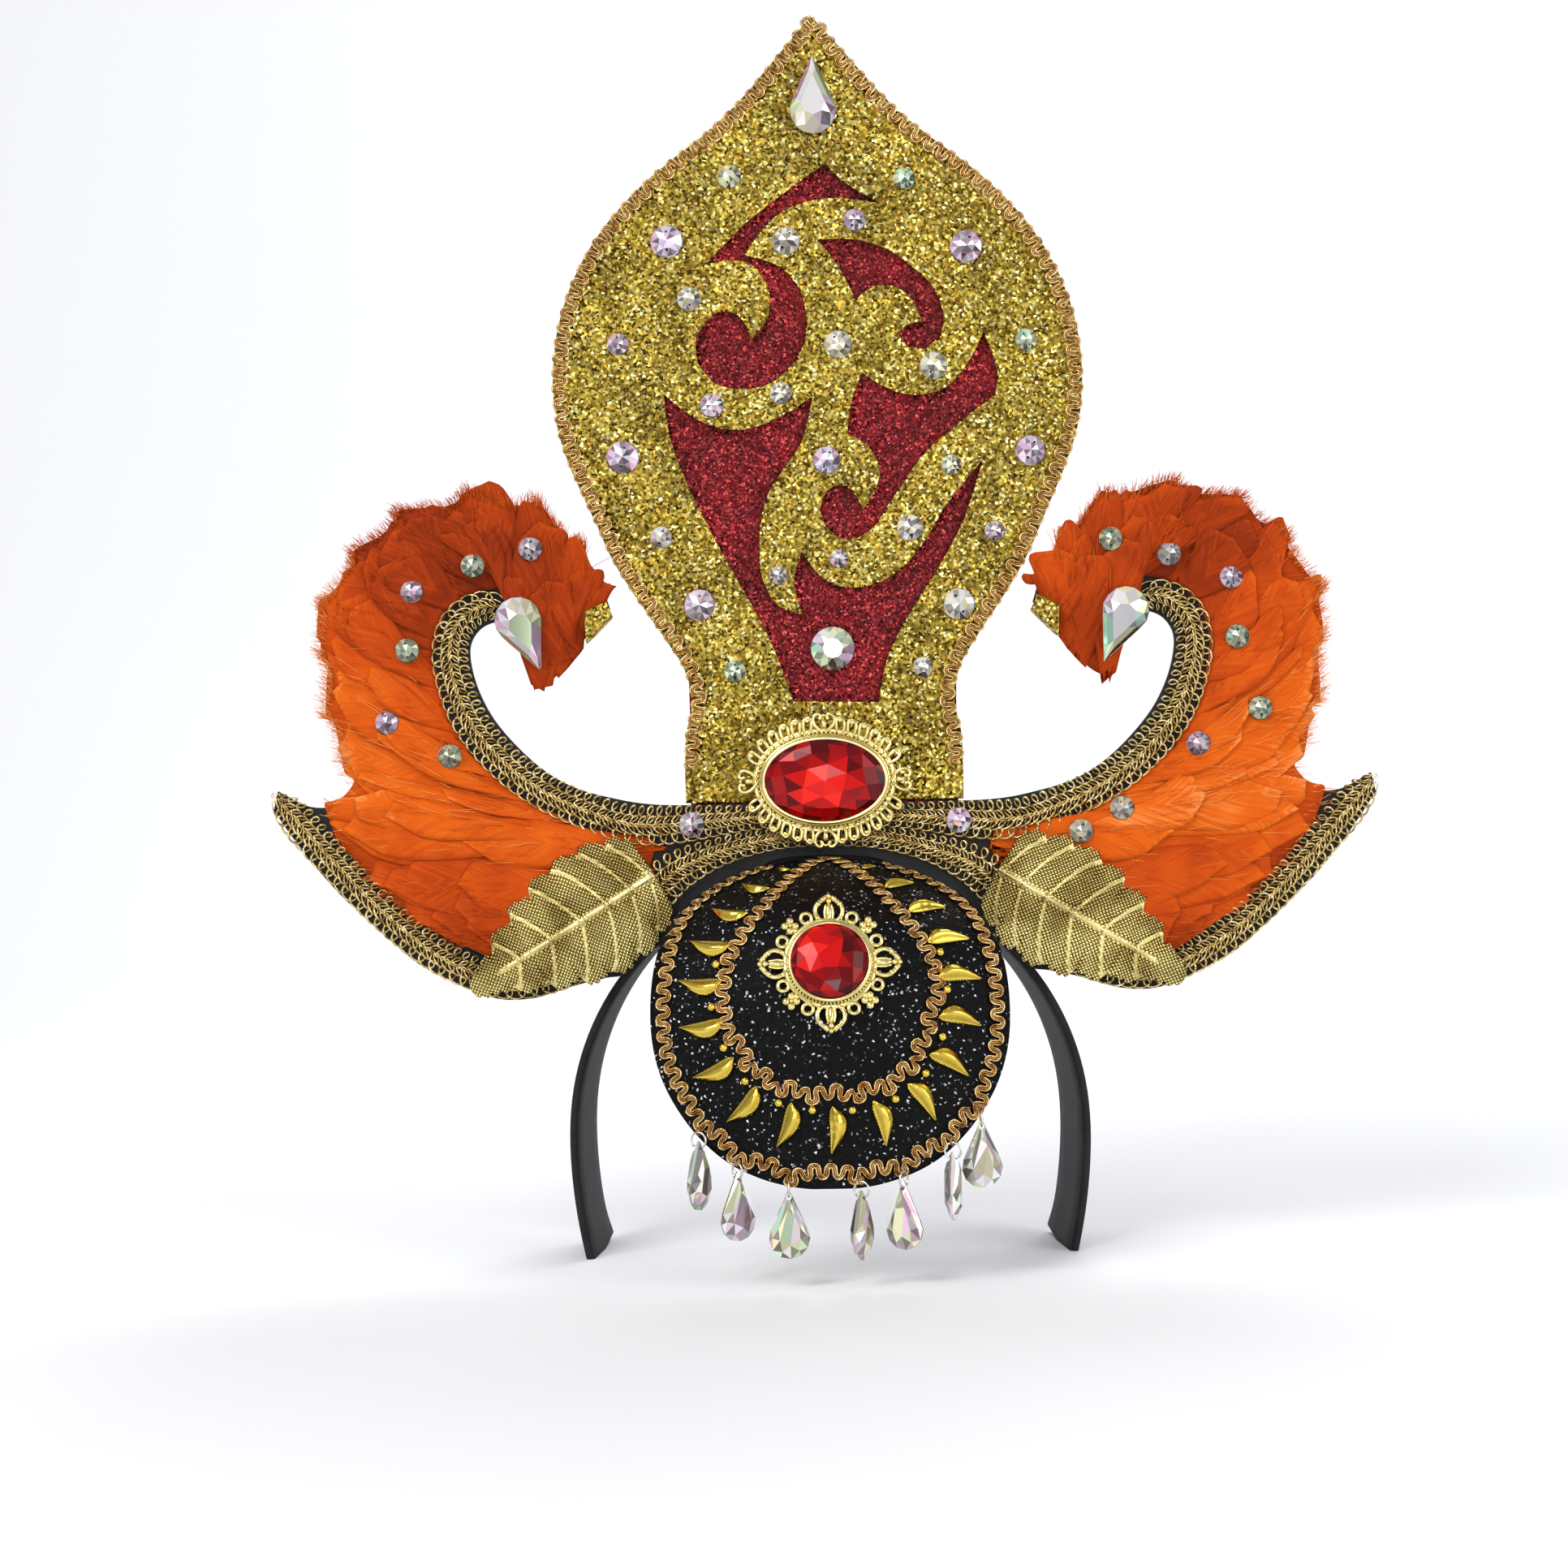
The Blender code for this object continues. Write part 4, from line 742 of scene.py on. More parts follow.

# %% [markdown]
# ## Cut stones
# A sew-on stone is faceted acrylic with mirror foil behind it. What shows is not the body of
# the stone but the foil seen through its facets, so every facet gets one even tone, some dark
# and some nearly white, with a rainbow tint; these tones are painted light, the foil's
# reflections and shade, set partly by which way a facet faces. The facets are real: rings of
# points are wrapped in a convex hull, which is what a cut stone is. The tones are face
# attributes that the material reads.

# %% Materials for the stones
def make_stone(name, tones, tints, metallic, roughness, coat):
    """Read the attributes tone, painted light from dark to bright, and tint, a place in the rainbow."""
    material, tree, shader = new_material(name, metallic=metallic, roughness=roughness, ior=1.5,
                                          coat_weight=coat, coat_roughness=0.03)
    tone = add_node(tree, "Attribute", attribute_name="tone").outputs["Fac"]
    tint = add_node(tree, "Attribute", attribute_name="tint").outputs["Fac"]
    colour = blend_colour(tree, 1.0, ramp(tree, tone, tones), ramp(tree, tint, tints), "MULTIPLY")
    tree.links.new(colour, shader.inputs["Base Color"])
    return material


rainbow_stone = make_stone("rainbow_stone", [
    (0.00, (0.010, 0.009, 0.010)), (0.25, (0.16, 0.15, 0.15)), (0.55, (0.50, 0.48, 0.48)),
    (0.80, (0.85, 0.84, 0.86)), (1.00, (1.0, 1.0, 1.0)),
], [
    (0.00, (0.55, 1.00, 0.78)), (0.20, (0.80, 1.00, 0.62)), (0.38, (1.00, 0.90, 0.55)),
    (0.52, (1.00, 0.96, 0.92)), (0.66, (0.92, 0.94, 1.00)), (0.82, (1.00, 0.58, 0.78)),
    (1.00, (0.84, 0.80, 1.00)),
], 0.55, 0.08, 1.0)
red_stone = make_stone("red_stone", [
    (0.00, (0.020, 0.000, 0.001)), (0.30, (0.14, 0.001, 0.002)), (0.60, (0.52, 0.003, 0.003)),
    (0.85, (0.95, 0.018, 0.008)), (1.00, (1.0, 0.20, 0.04)),
], [(0.0, (1.0, 1.0, 1.0)), (1.0, (1.0, 0.75, 0.75))], 0.15, 0.10, 0.18)
red_stone.node_tree.nodes["Principled BSDF"].inputs["Specular IOR Level"].default_value = 0.15
print("two stone finishes")

# %% Facets from rings of points
FACET_FLAT = math.radians(1.5)


def resample(points, count, shift=0.0):
    """Even places round a closed outline; shift is a share of one place."""
    p = np.array([tuple(q) for q in points], float)
    p = np.vstack([p, p[:1]])
    along = np.concatenate([[0.0], np.cumsum(np.linalg.norm(np.diff(p, axis=0), axis=1))])
    s = (np.arange(count) + shift) / count * along[-1]
    return np.stack([np.interp(s, along, p[:, k]) for k in range(3)], axis=1)


def cut_gem(rim, out, levels):
    """Facet a stone over its rim; a level is scale, height, number of points and shift."""
    bm = bmesh.new()
    smooth = smooth_path(rim, closed=True)
    centre = smooth.mean(axis=0)
    for scale, height, count, shift in levels:
        ring = resample(smooth, count, shift)
        for point in centre + (ring - centre) * scale + np.array(out) * height:
            bm.verts.new(point)
    bmesh.ops.convex_hull(bm, input=bm.verts[:], use_existing_faces=False)
    bmesh.ops.dissolve_limit(bm, angle_limit=FACET_FLAT, verts=bm.verts[:], edges=bm.edges[:])
    bmesh.ops.recalc_face_normals(bm, faces=bm.faces)
    return bm


def paint_facets(obj, painted_light_of, tint_of):
    """Store a tone, which is painted light, and a tint on every face; the functions get the face's
    centre and normal.
    """
    mesh = obj.data
    tone = mesh.attributes.new("tone", "FLOAT", "FACE")
    tint = mesh.attributes.new("tint", "FLOAT", "FACE")
    for i, polygon in enumerate(mesh.polygons):
        tone.data[i].value = min(1.0, max(0.0, painted_light_of(polygon)))
        tint.data[i].value = min(1.0, max(0.0, tint_of(polygon)))
    return obj


def level_ring(name, axis):
    """The widest ring of a stone's solid: the vertices at the level that spreads most."""
    bm = merged(name)
    axis = Vector(axis)
    groups = {}
    for vert in bm.verts:
        groups.setdefault(round(vert.co.dot(axis), 5), []).append(vert)
    spread = {}
    for level, verts in groups.items():
        centre = sum((v.co for v in verts), Vector()) / len(verts)
        spread[level] = sum((v.co - centre).length for v in verts) if len(verts) > 4 else 0.0
    verts = groups[max(spread, key=spread.get)]
    centre = sum((v.co for v in verts), Vector()) / len(verts)
    side = axis.orthogonal().normalized()
    up = axis.cross(side)
    ring = sorted((v.co.copy() for v in verts),
                  key=lambda p: math.atan2((p - centre).dot(up), (p - centre).dot(side)))
    bm.free()
    return ring


print("stones are cut by", cut_gem.__name__)

# %% Large sewn stones: three teardrops and one round
def big_stone(name, levels, seed):
    rng = random.Random(seed)
    gem = cut_gem(level_ring(name, FRONT), FRONT, levels)
    obj = add_mesh(name + "_cut", gem, rainbow_stone, smooth=False)
    low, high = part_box(name)
    middle = (low + high) / 2

    def painted_light_of(polygon):
        # painted light: facets that face the upper left and the front get a brighter tone, plus a
        # random share
        lean = polygon.normal.dot(Vector((-0.45, -0.6, 0.65)))
        return 0.16 + 0.55 * max(0.0, lean) + rng.uniform(-0.16, 0.42)

    def tint_of(polygon):
        place = polygon.center - middle
        angle = math.atan2(place.z, place.x) / math.tau + 0.5
        return (angle * 2.0 + rng.uniform(-0.18, 0.18)) % 1.0

    paint_facets(obj, painted_light_of, tint_of)
    return finish_piece(obj, "rainbow_stone", name)


TEARDROP_CUT = [(0.94, -0.0012, 20, 0.0), (1.0, 0.0, 20, 0.0), (0.985, 0.0003, 20, 0.0),
                (0.80, 0.0017, 10, 0.5), (0.50, 0.0033, 10, 0.0)]
ROUND_CUT = [(0.94, -0.0012, 24, 0.0), (1.0, 0.0, 24, 0.0), (0.985, 0.0003, 24, 0.0),
             (0.74, 0.0018, 12, 0.5), (0.44, 0.0033, 12, 0.0)]
for seed, name in enumerate(("tip_stone", "curl_stone_left", "curl_stone_right", "panel_stone")):
    big_stone(name, ROUND_CUT if name == "panel_stone" else TEARDROP_CUT, seed)

# %% [markdown]
# The small round stones come to a point in the middle, so they show light and dark rays. Each
# has two sewing holes, drilled once in a master stone with a Boolean modifier. The master is
# then copied to every place where the solid has a stone, each turned by its own angle.

# %% Small stones
STONE_HEIGHT = 0.0030
SEW_HOLE = 0.55
SEW_HOLE_RADIUS = 0.085
STONE_RINGS = [(0.96, -0.14, 16, 0.0), (1.0, 0.10, 16, 0.0), (0.93, 0.22, 16, 0.0),
               (0.50, 0.70, 8, 0.5), (0.0, 1.0, 1, 0.0)]
SEAT_CORNERS = 8
SEAT_RADIUS = (0.0014, 0.0035)


def drilled(obj, drill_bm):
    """An object's mesh with a drill's shape cut out of it."""
    drill = add_mesh("drill", drill_bm, smooth=False)
    cut = obj.modifiers.new("drilling", "BOOLEAN")
    cut.object = drill
    cut.solver = "EXACT"
    done = modified_mesh(obj)
    obj.modifiers.clear()
    bpy.data.objects.remove(drill)
    return done


def master_stone():
    """A round pointed stone of radius 1 and height 1, with its two sewing holes."""
    bm = bmesh.new()
    for scale, height, count, turn in STONE_RINGS:
        for i in range(count):
            angle = math.tau * (i + turn) / count
            bm.verts.new((scale * math.cos(angle), scale * math.sin(angle), height))
    bmesh.ops.convex_hull(bm, input=bm.verts[:], use_existing_faces=False)
    bmesh.ops.dissolve_limit(bm, angle_limit=FACET_FLAT, verts=bm.verts[:], edges=bm.edges[:])
    stone = add_mesh("master_stone", bm, smooth=False)
    bm = bmesh.new()
    for side in (-1, 1):
        bmesh.ops.create_cone(bm, cap_ends=True, segments=8, radius1=SEW_HOLE_RADIUS,
                              radius2=SEW_HOLE_RADIUS, depth=3.0,
                              matrix=Matrix.Translation((side * SEW_HOLE, 0.0, 0.0)))
    done = drilled(stone, bm)
    bpy.data.objects.remove(stone)
    return done


def stone_places(name):
    """Centre of the seat and diameter of each small stone that stands on a solid."""
    bm = merged(name)
    tops = {}
    for face in bm.faces:
        if face.normal.y < -0.999:
            tops.setdefault(round(face.calc_center_median().y, 5), []).append(face)
    places = []
    for faces in tops.values():
        left = set(faces)
        while left:
            group, waiting = set(), [left.pop()]
            while waiting:
                face = waiting.pop()
                group.add(face)
                for other in {f for e in face.edges for f in e.link_faces}:
                    if other in left:
                        left.remove(other)
                        waiting.append(other)
            verts = {v for f in group for v in f.verts}
            if len(verts) == SEAT_CORNERS:
                centre = sum((v.co for v in verts), Vector()) / SEAT_CORNERS
                radius = sum((v.co - centre).length for v in verts) / SEAT_CORNERS
                spread = max(abs((v.co - centre).length - radius) for v in verts)
                if spread < 2e-4 and SEAT_RADIUS[0] < radius < SEAT_RADIUS[1]:
                    places.append((centre - FRONT * STONE_HEIGHT, 4 * radius))
    bm.free()
    return sorted(places, key=lambda place: (round(place[0].z, 4), round(place[0].x, 4)))


def sew_stones(name, places, master, brightness, seed):
    rng = random.Random(seed)
    whole = bmesh.new()
    for seat, diameter in places:
        turn = rng.uniform(-0.5, 0.5) + math.pi / 2
        scale = Matrix.Diagonal((diameter / 2, diameter / 2, STONE_HEIGHT, 1.0))
        stand = Matrix.Rotation(math.pi / 2, 4, "X") @ Matrix.Rotation(turn, 4, "Z")
        copy = master.copy()
        copy.transform(Matrix.Translation(seat) @ stand @ scale)
        take_in(whole, copy)
    obj = add_mesh(name, whole, rainbow_stone, smooth=False)
    each = len(master.polygons)
    hue = [rng.random() for _ in places]

    def painted_light_of(polygon):
        # painted shade inside the sewing holes; painted light on facets that face the upper left and
        # the front
        inside = abs(polygon.normal.y) < 0.02 and polygon.area < 3e-6
        lean = polygon.normal.dot(Vector((-0.5, -0.5, 0.7)))
        if inside:
            return 0.0
        return brightness * (0.34 + 0.40 * max(0.0, lean) + rng.uniform(-0.36, 0.46))

    def tint_of(polygon):
        return hue[polygon.index // each] * 0.75 + rng.uniform(0.0, 0.35)

    return paint_facets(obj, painted_light_of, tint_of)


master = master_stone()
groups = {"panel_stones": ("crown_panel",), "wing_stones": ("feathers_left", "feathers_right"),
          "cross_stones": ("curl_braid_left", "curl_braid_right")}
for seed, (piece, sources) in enumerate(groups.items()):
    places = [place for source in sources for place in stone_places(source)]
    stones = sew_stones(piece, places, master, 0.7 if piece == "wing_stones" else 1.0, seed + 11)
    finish_piece(stones, "rainbow_stone")
    print(piece, len(places), "stones of", sorted({round(d * 1000, 1) for _, d in places}), "mm")

# %% [markdown]
# ## Looped braid
# The wide braid is crocheted: open loops stand along its edge, two rows of slanted loops fill
# it, and a plait holds the middle. A loop row is a coil seen from the side, so one turn of a
# trochoid is the whole pattern: x moves on steadily while the thread also goes round. One turn
# is modelled, an Array modifier repeats it, and the straight strip is bent along the path.

# %% Straight rows of braid
BRAID_HALF = 0.006
BRAID_ROWS = [
    # across, loop radius, pitch, thread radius, slant, height, stations
    (-0.00420, 0.00176, 0.0038, 0.00040, 0.10, 0.00115, 12),
    (-0.00150, 0.00150, 0.0029, 0.00039, 0.80, 0.00135, 12),
    (0.00150, 0.00150, 0.0029, 0.00039, -0.80, 0.00135, 12),
    (0.00430, 0.00168, 0.0034, 0.00039, -0.30, 0.00110, 12),
]
PLAIT = (0.0, 0.00050, 0.0040, 0.00036, 0.00195)
THREAD_SIDES = 5


def loop_row(length, across, radius, pitch, thread, slant, height, stations):
    """A row of loops: one turn of a trochoid, repeated."""
    centres = []
    for i in range(stations + 1):
        phi = math.tau * i / stations
        y = radius * math.sin(phi)
        centres.append((pitch * phi / math.tau + radius * math.cos(phi) + slant * y,
                        across + y, height + 0.45 * radius * math.cos(phi)))
    bm = tube(bmesh.new(), centres, thread, THREAD_SIDES)
    return repeat("loop_row", bm, pitch, max(1, int(length / pitch)))


def plait_row(length, across, swing, pitch, thread, height):
    """Two threads that cross over and under down the middle."""
    meshes = []
    for side in (-1, 1):
        centres = [(pitch * i / 12, across + side * swing * math.sin(math.tau * i / 12),
                    height + side * 0.0003 * math.cos(math.tau * i / 12)) for i in range(13)]
        bm = tube(bmesh.new(), centres, thread, THREAD_SIDES)
        meshes.append(repeat("plait_row", bm, pitch, max(1, int(length / pitch))))
    return meshes


def looped_braid(track):
    rows = [loop_row(track.length, *row) for row in BRAID_ROWS]
    rows += plait_row(track.length, *PLAIT)
    return [bend(mesh, track) for mesh in rows]


def flat_track(name, start_near, unit_half):
    """The path of a flat trim, from its solid's back outline folded in two."""
    pairs = fold(back_rims(name)[0], start_near)
    middles = smooth_path([(a + b) / 2 for a, b in pairs], corners=False)
    halves = np.array([(a - b).length / 2 for a, b in pairs])
    where = np.linspace(0.0, 1.0, len(halves))
    widths = np.interp(np.linspace(0.0, 1.0, len(middles)), where, halves) / unit_half
    return Track(middles, FRONT, widths)


def mirrored(mesh):
    """The same mesh on the wearer's other side, its faces turned back outwards."""
    copy = mesh.copy()
    copy.transform(Matrix.Diagonal((-1.0, 1.0, 1.0, 1.0)))
    copy.flip_normals()
    return copy


for kind in ("curl_braid", "edge_braid"):
    track = flat_track(kind + "_right", Vector((0.0, -0.026, 0.02)), BRAID_HALF)
    meshes = looped_braid(track)
    others = [mirrored(mesh) for mesh in meshes]
    finish_piece(join(kind + "_loops_right", meshes, bronze_cord), "gold_braid", kind + "_right")
    finish_piece(join(kind + "_loops_left", others, bronze_cord), "gold_braid", kind + "_left")
    print(kind, "is", round(track.length * 1000), "mm long")

# %% [markdown]
# ## Serpentine gimp
# The narrow trim is three cords laid side by side in a tight snake. A sine alone makes bends
# that are too open, so the x of each point is pushed back and forth as well, which folds the
# snake into hairpins. The middle cord is duller, so the three can be told apart.

# %% Gimp
GIMP_PITCH = 0.0052
GIMP_SWING = 0.0019
GIMP_FOLD = 0.9
GIMP_CORDS = (-0.00068, 0.0, 0.00068)
GIMP_CORD_RADIUS = 0.00031
GIMP_STATIONS = 16


def gimp_strip(length):
    """Straight gimp, with the pitch nearest the usual one that fills the path with whole snakes."""
    count = max(1, round(length / GIMP_PITCH))
    pitch = length / count
    meshes = []
    step = math.tau / GIMP_STATIONS
    for shift in GIMP_CORDS:
        centres = []
        for i in range(GIMP_STATIONS + 1):
            phi = i * step
            spine = [Vector((pitch * p / math.tau - GIMP_FOLD * pitch / (4 * math.pi) * math.sin(2 * p),
                             GIMP_SWING * math.sin(p), 0.0)) for p in (phi - 0.01, phi, phi + 0.01)]
            ahead = (spine[2] - spine[0]).normalized()
            across = Vector((-ahead.y, ahead.x, 0.0))
            lift = Vector((0.0, 0.0, 0.0007 + 0.0003 * math.cos(phi)))
            centres.append(spine[1] + across * shift + lift)
        bm = tube(bmesh.new(), centres, GIMP_CORD_RADIUS, THREAD_SIDES)
        strip = repeat("gimp", bm, pitch, count)
        dull = strip.attributes.new("dull", "FLOAT", "POINT")
        dull.data.foreach_set("value", [0.7 if shift == 0.0 else 0.0] * len(strip.vertices))
        meshes.append(strip)
    return meshes


def wrapped_gimp(track):
    return [bend(mesh, track) for mesh in gimp_strip(track.length)]


track = flat_track("panel_trim", Vector((-0.05, -0.025, 0.02)), 0.0028)
track.widths[:] = 1.0
trim = join("panel_gimp", wrapped_gimp(track), copper_cord)
finish_piece(trim, "copper_braid", "panel_trim")
print("panel gimp is", round(track.length * 1000), "mm long")

# %% [markdown]
# ## Plate
# The forehead plate is a shallow shell of glitter sheet. Its solid is coarse, so it is rounded
# the same way as the band, and everything on it is seated by asking for the nearest point of
# the rounded shell.

# %% Plate and its surface
plate = finish_piece(smooth_copy("forehead_plate", "glitter_plate", black_glitter),
                     "black_glitter", "forehead_plate")


def surface_tree(obj):
    """A search tree over a finished piece, modifiers included."""
    return BVHTree.FromObject(obj, bpy.context.evaluated_depsgraph_get())


bpy.context.view_layer.update()
plate_tree = surface_tree(plate)


def on_plate(point):
    """The nearest point on the front of the plate, and the direction out of it."""
    spot, normal, _, _ = plate_tree.find_nearest(Vector(point))
    if normal.y > 0.15:
        normal = -normal
    return spot, normal


RIBBON_TOP = (0.0016, 0.0032)


def ribbon_path(name):
    """Middle points of a ribbon's top, from the edges that two top faces share."""
    bm = merged(name)

    def on_top(face):
        heights = ((v.co - on_plate(v.co)[0]).length for v in face.verts)
        return all(RIBBON_TOP[0] < height < RIBBON_TOP[1] for height in heights)

    top = {f for f in bm.faces if on_top(f)}
    middles = [(e.verts[0].co + e.verts[1].co) / 2 for e in bm.edges
               if len(e.link_faces) == 2 and all(f in top for f in e.link_faces)]
    bm.free()
    return middles


print("plate gimps have", len(ribbon_path("plate_trim_outer")), "and",
      len(ribbon_path("plate_trim_inner")), "middle points")

# %% Gimp on the plate
PLATE_GIMP_LIFT = 0.0001
ANGLE_BINS = 96


def round_path(points, centre):
    """Sort scattered middle points by their angle round a centre, one mean point to a bin."""
    groups = {}
    for point in points:
        angle = math.atan2(point.x - centre.x, centre.z - point.z)
        groups.setdefault(int((angle / math.tau + 0.5) * ANGLE_BINS), []).append(point)
    return [sum(groups[k], Vector()) / len(groups[k]) for k in sorted(groups)]


def plate_track(name, centre, closed):
    """The path of a gimp on the plate, evened out and laid on the rounded shell."""
    path = round_path(ribbon_path(name), centre)
    path = smooth_path(path, closed=closed, corners=False, step=0.0015)
    for _ in range(3):
        rolled = (np.roll(path, 1, axis=0) + np.roll(path, -1, axis=0) + 2 * path) / 4
        path = rolled if closed else np.vstack([path[:1], rolled[1:-1], path[-1:]])
    if closed:
        path = np.vstack([path, path[:1]])
    seats = [on_plate(point) for point in path]
    points = [spot + normal * PLATE_GIMP_LIFT for spot, normal in seats]
    return Track(points, [normal for _, normal in seats])


stone_low, stone_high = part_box("round_stone")
plate_centre = (stone_low + stone_high) / 2
plate_centre.y = 0.0
gimps = {"plate_trim_outer": False, "plate_trim_inner": True}
tracks = {}
for name, closed in gimps.items():
    tracks[name] = track = plate_track(name, plate_centre, closed)
    print(name, "runs", round(track.length * 1000), "mm,", "closed" if closed else "open")

# %% Gimps and thread loops
LOOP_THREAD = 0.00038
LOOP_SINK = 0.0006
LOOP_SIZE = 0.0013
DROP_COUNT = 7


def ring_tops():
    """The top of each hanging ring, from the solids."""
    for number in range(1, DROP_COUNT + 1):
        low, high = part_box(f"ring_{number}")
        yield Vector(((low.x + high.x) / 2, (low.y + high.y) / 2, high.z))


def thread_loops():
    """A stitched loop round the top of every hanging ring."""
    whole = bmesh.new()
    for top in ring_tops():
        normal = on_plate(top)[1]
        side = normal.cross(Vector((0, 0, 1))).normalized()
        up = side.cross(normal)
        hub = top - Vector((0, 0, LOOP_SINK))
        turn = Matrix((side, up, normal)).transposed().to_4x4()
        strand = [(LOOP_SIZE * 0.55 * math.sin(a), LOOP_SIZE * math.cos(a), 0.0)
                  for a in (math.tau * i / 10 for i in range(10))]
        loop = tube(bmesh.new(), strand, LOOP_THREAD, 6, closed=True)
        bmesh.ops.transform(loop, verts=loop.verts,
                            matrix=Matrix.Translation(hub + up * LOOP_SINK) @ turn)
        take_in(whole, to_mesh("loop", loop))
    return to_mesh("thread_loops", whole)


for side, extra in (("outer", [thread_loops()]), ("inner", [])):
    cords = wrapped_gimp(tracks["plate_trim_" + side])
    gimp = join("plate_gimp_" + side, cords + extra, copper_cord)
    finish_piece(gimp, "copper_braid", "plate_trim_" + side)

# %% [markdown]
# ## Horn studs
# Between the two gimps lies a row of stamped studs shaped like small curved horns: a rounded
# root, a keel along the back, a point bent to one side and a finely scalloped rim. One stud is
# shaped from a grid, and each copy is laid on the plate between the two ends of its solid.

# %% One stud
STUD_COLUMNS = 30
STUD_ROWS = 8
STUD_SCALLOP = 0.07
STUD_PROFILE = [(0.0, 0.06), (0.04, 0.38), (0.10, 0.64), (0.18, 0.86), (0.32, 1.0), (0.50, 0.92),
                (0.70, 0.66), (0.86, 0.36), (0.96, 0.15), (1.0, 0.03)]
STUD_HALF = 0.0032
STUD_HEIGHT = 0.0026
STUD_LEAN = 0.24
STUD_LENGTH = 0.0150
STUD_LIFT = 0.00035
STUD_METAL = 0.0003


def stud_shape():
    """Length 1 along x; width, height and sideways lean in metres."""
    bm = bmesh.new()
    bmesh.ops.create_grid(bm, x_segments=STUD_COLUMNS, y_segments=STUD_ROWS, size=1.0)
    for vert in bm.verts:
        along = (vert.co.x + 1) / 2
        across = vert.co.y
        width = np.interp(along, *zip(*STUD_PROFILE))
        column = round(along * STUD_COLUMNS)
        if abs(across) > 0.99 and 2 < column < STUD_COLUMNS - 3:
            width *= 1 + STUD_SCALLOP * (1 if column % 2 else -1)
        dome = (1 - abs(across) ** 1.8) * 0.55 + max(0.0, 1 - abs(across - 0.15) * 1.5) * 0.45
        rim = 0.10 if abs(across) > 0.7 else 0.0
        vert.co = (along, across * width, (dome * (0.35 + 0.65 * width) + rim))
    return bm


def stud_ends(name):
    """Root, tip and a place on the bulge of one stud; the root is the end nearer the inner gimp."""
    points = solid_points(name)
    centre = sum(points, Vector()) / len(points)
    spread = np.array([tuple(p - centre) for p in points])
    axis = Vector(np.linalg.svd(spread)[2][0])
    gimp = tracks["plate_trim_inner"].points
    near, far = (np.linalg.norm(gimp - np.array(centre + axis * step), axis=1).min()
                 for step in (-0.006, 0.006))
    if near > far:
        axis = -axis
    reach = [(p - centre).dot(axis) for p in points]
    order = sorted(range(len(points)), key=lambda i: reach[i])
    tip = sum((points[i] for i in order[-5:]), Vector()) / 5
    root = sum((points[i] for i in order[:5]), Vector()) / 5
    middle = sum((points[i] for i in order[8:14]), Vector()) / 6
    return root, tip, middle


def lay_stud(shape, name):
    root, tip, middle = stud_ends(name)
    length = (tip - root).length
    out = on_plate((root + tip) / 2)[1]
    along = (tip - root).normalized()
    side = out.cross(along).normalized()
    bulge = 1.0 if (middle - (root + tip) / 2).dot(side) > 0 else -1.0
    scale = length / STUD_LENGTH
    copy = shape.copy()
    co = read_places(copy)
    lean = STUD_LEAN * length * np.sin(math.pi * np.clip(co[:, 0], 0, 1) ** 0.8) * bulge
    for i, (x, y, z) in enumerate(co):
        flat = root + along * (x * length) + side * (y * STUD_HALF * scale + lean[i] * 0.55)
        spot, normal = on_plate(flat)
        co[i] = spot + normal * (STUD_LIFT + z * STUD_HEIGHT * scale)
    copy.vertices.foreach_set("co", co.ravel())
    return copy


shape = to_mesh("stud_shape", stud_shape())
horn_names = [name for name in sorted(nodes) if name.startswith("horn_")]
studs = join("horn_studs", [lay_stud(shape, name) for name in horn_names], horn_gold)
add_wall(studs, "stamped_metal", STUD_METAL)
finish_piece(studs, "gold_metal", *horn_names)

# %% Brass beads
BEAD_RADIUS = 0.00145
BEAD_GAP = 0.0042
FIRST_BEAD_STUD = 3
LAST_BEAD_STUD = 15
BEAD_SHARE = 0.66


def brass_beads():
    """One bead stands between two studs, just outside the inner gimp.

    The studs on the wearer's right bulge downward, so a bead there stands nearer the lower one.
    """
    track = tracks["plate_trim_inner"]
    roots = [stud_ends(name)[0] for name in horn_names[FIRST_BEAD_STUD:LAST_BEAD_STUD + 1]]
    whole = bmesh.new()
    for first, second in zip(roots, roots[1:]):
        low, high = sorted((first, second), key=lambda root: root.z)
        share = BEAD_SHARE if low.x < -0.01 else 0.5
        middle = low * share + high * (1 - share)
        gaps = np.linalg.norm(track.points - np.array(middle), axis=1)
        near = Vector(track.points[int(gaps.argmin())])
        out = middle - near
        out.y = 0.0
        spot, normal = on_plate(near + out.normalized() * BEAD_GAP)
        bmesh.ops.create_icosphere(whole, subdivisions=2, radius=BEAD_RADIUS,
                                   matrix=Matrix.Translation(spot + normal * BEAD_RADIUS * 0.8))
    print(len(roots) - 1, "brass beads")
    return finish_piece(add_mesh("brass_bead_row", whole, horn_gold), "gold_metal")


brass_beads()

# %% [markdown]
# ## Feathers
# Each wing is covered with dyed feathers glued in a fan, root at the braid and tip outward.
# From a step away they melt into one soft surface with a lobed edge, so three things make it:
# a smooth sheet that covers the board, broad vanes with round tips laid over it like shingles,
# and fine hairs, lying on the vanes and standing out along the edge. The barbs of a vane are
# streaks in the finish. The fan follows the inner and outer ends of the rows in its solid.

# %% Feather finish
BARB_SLANT = 0.5


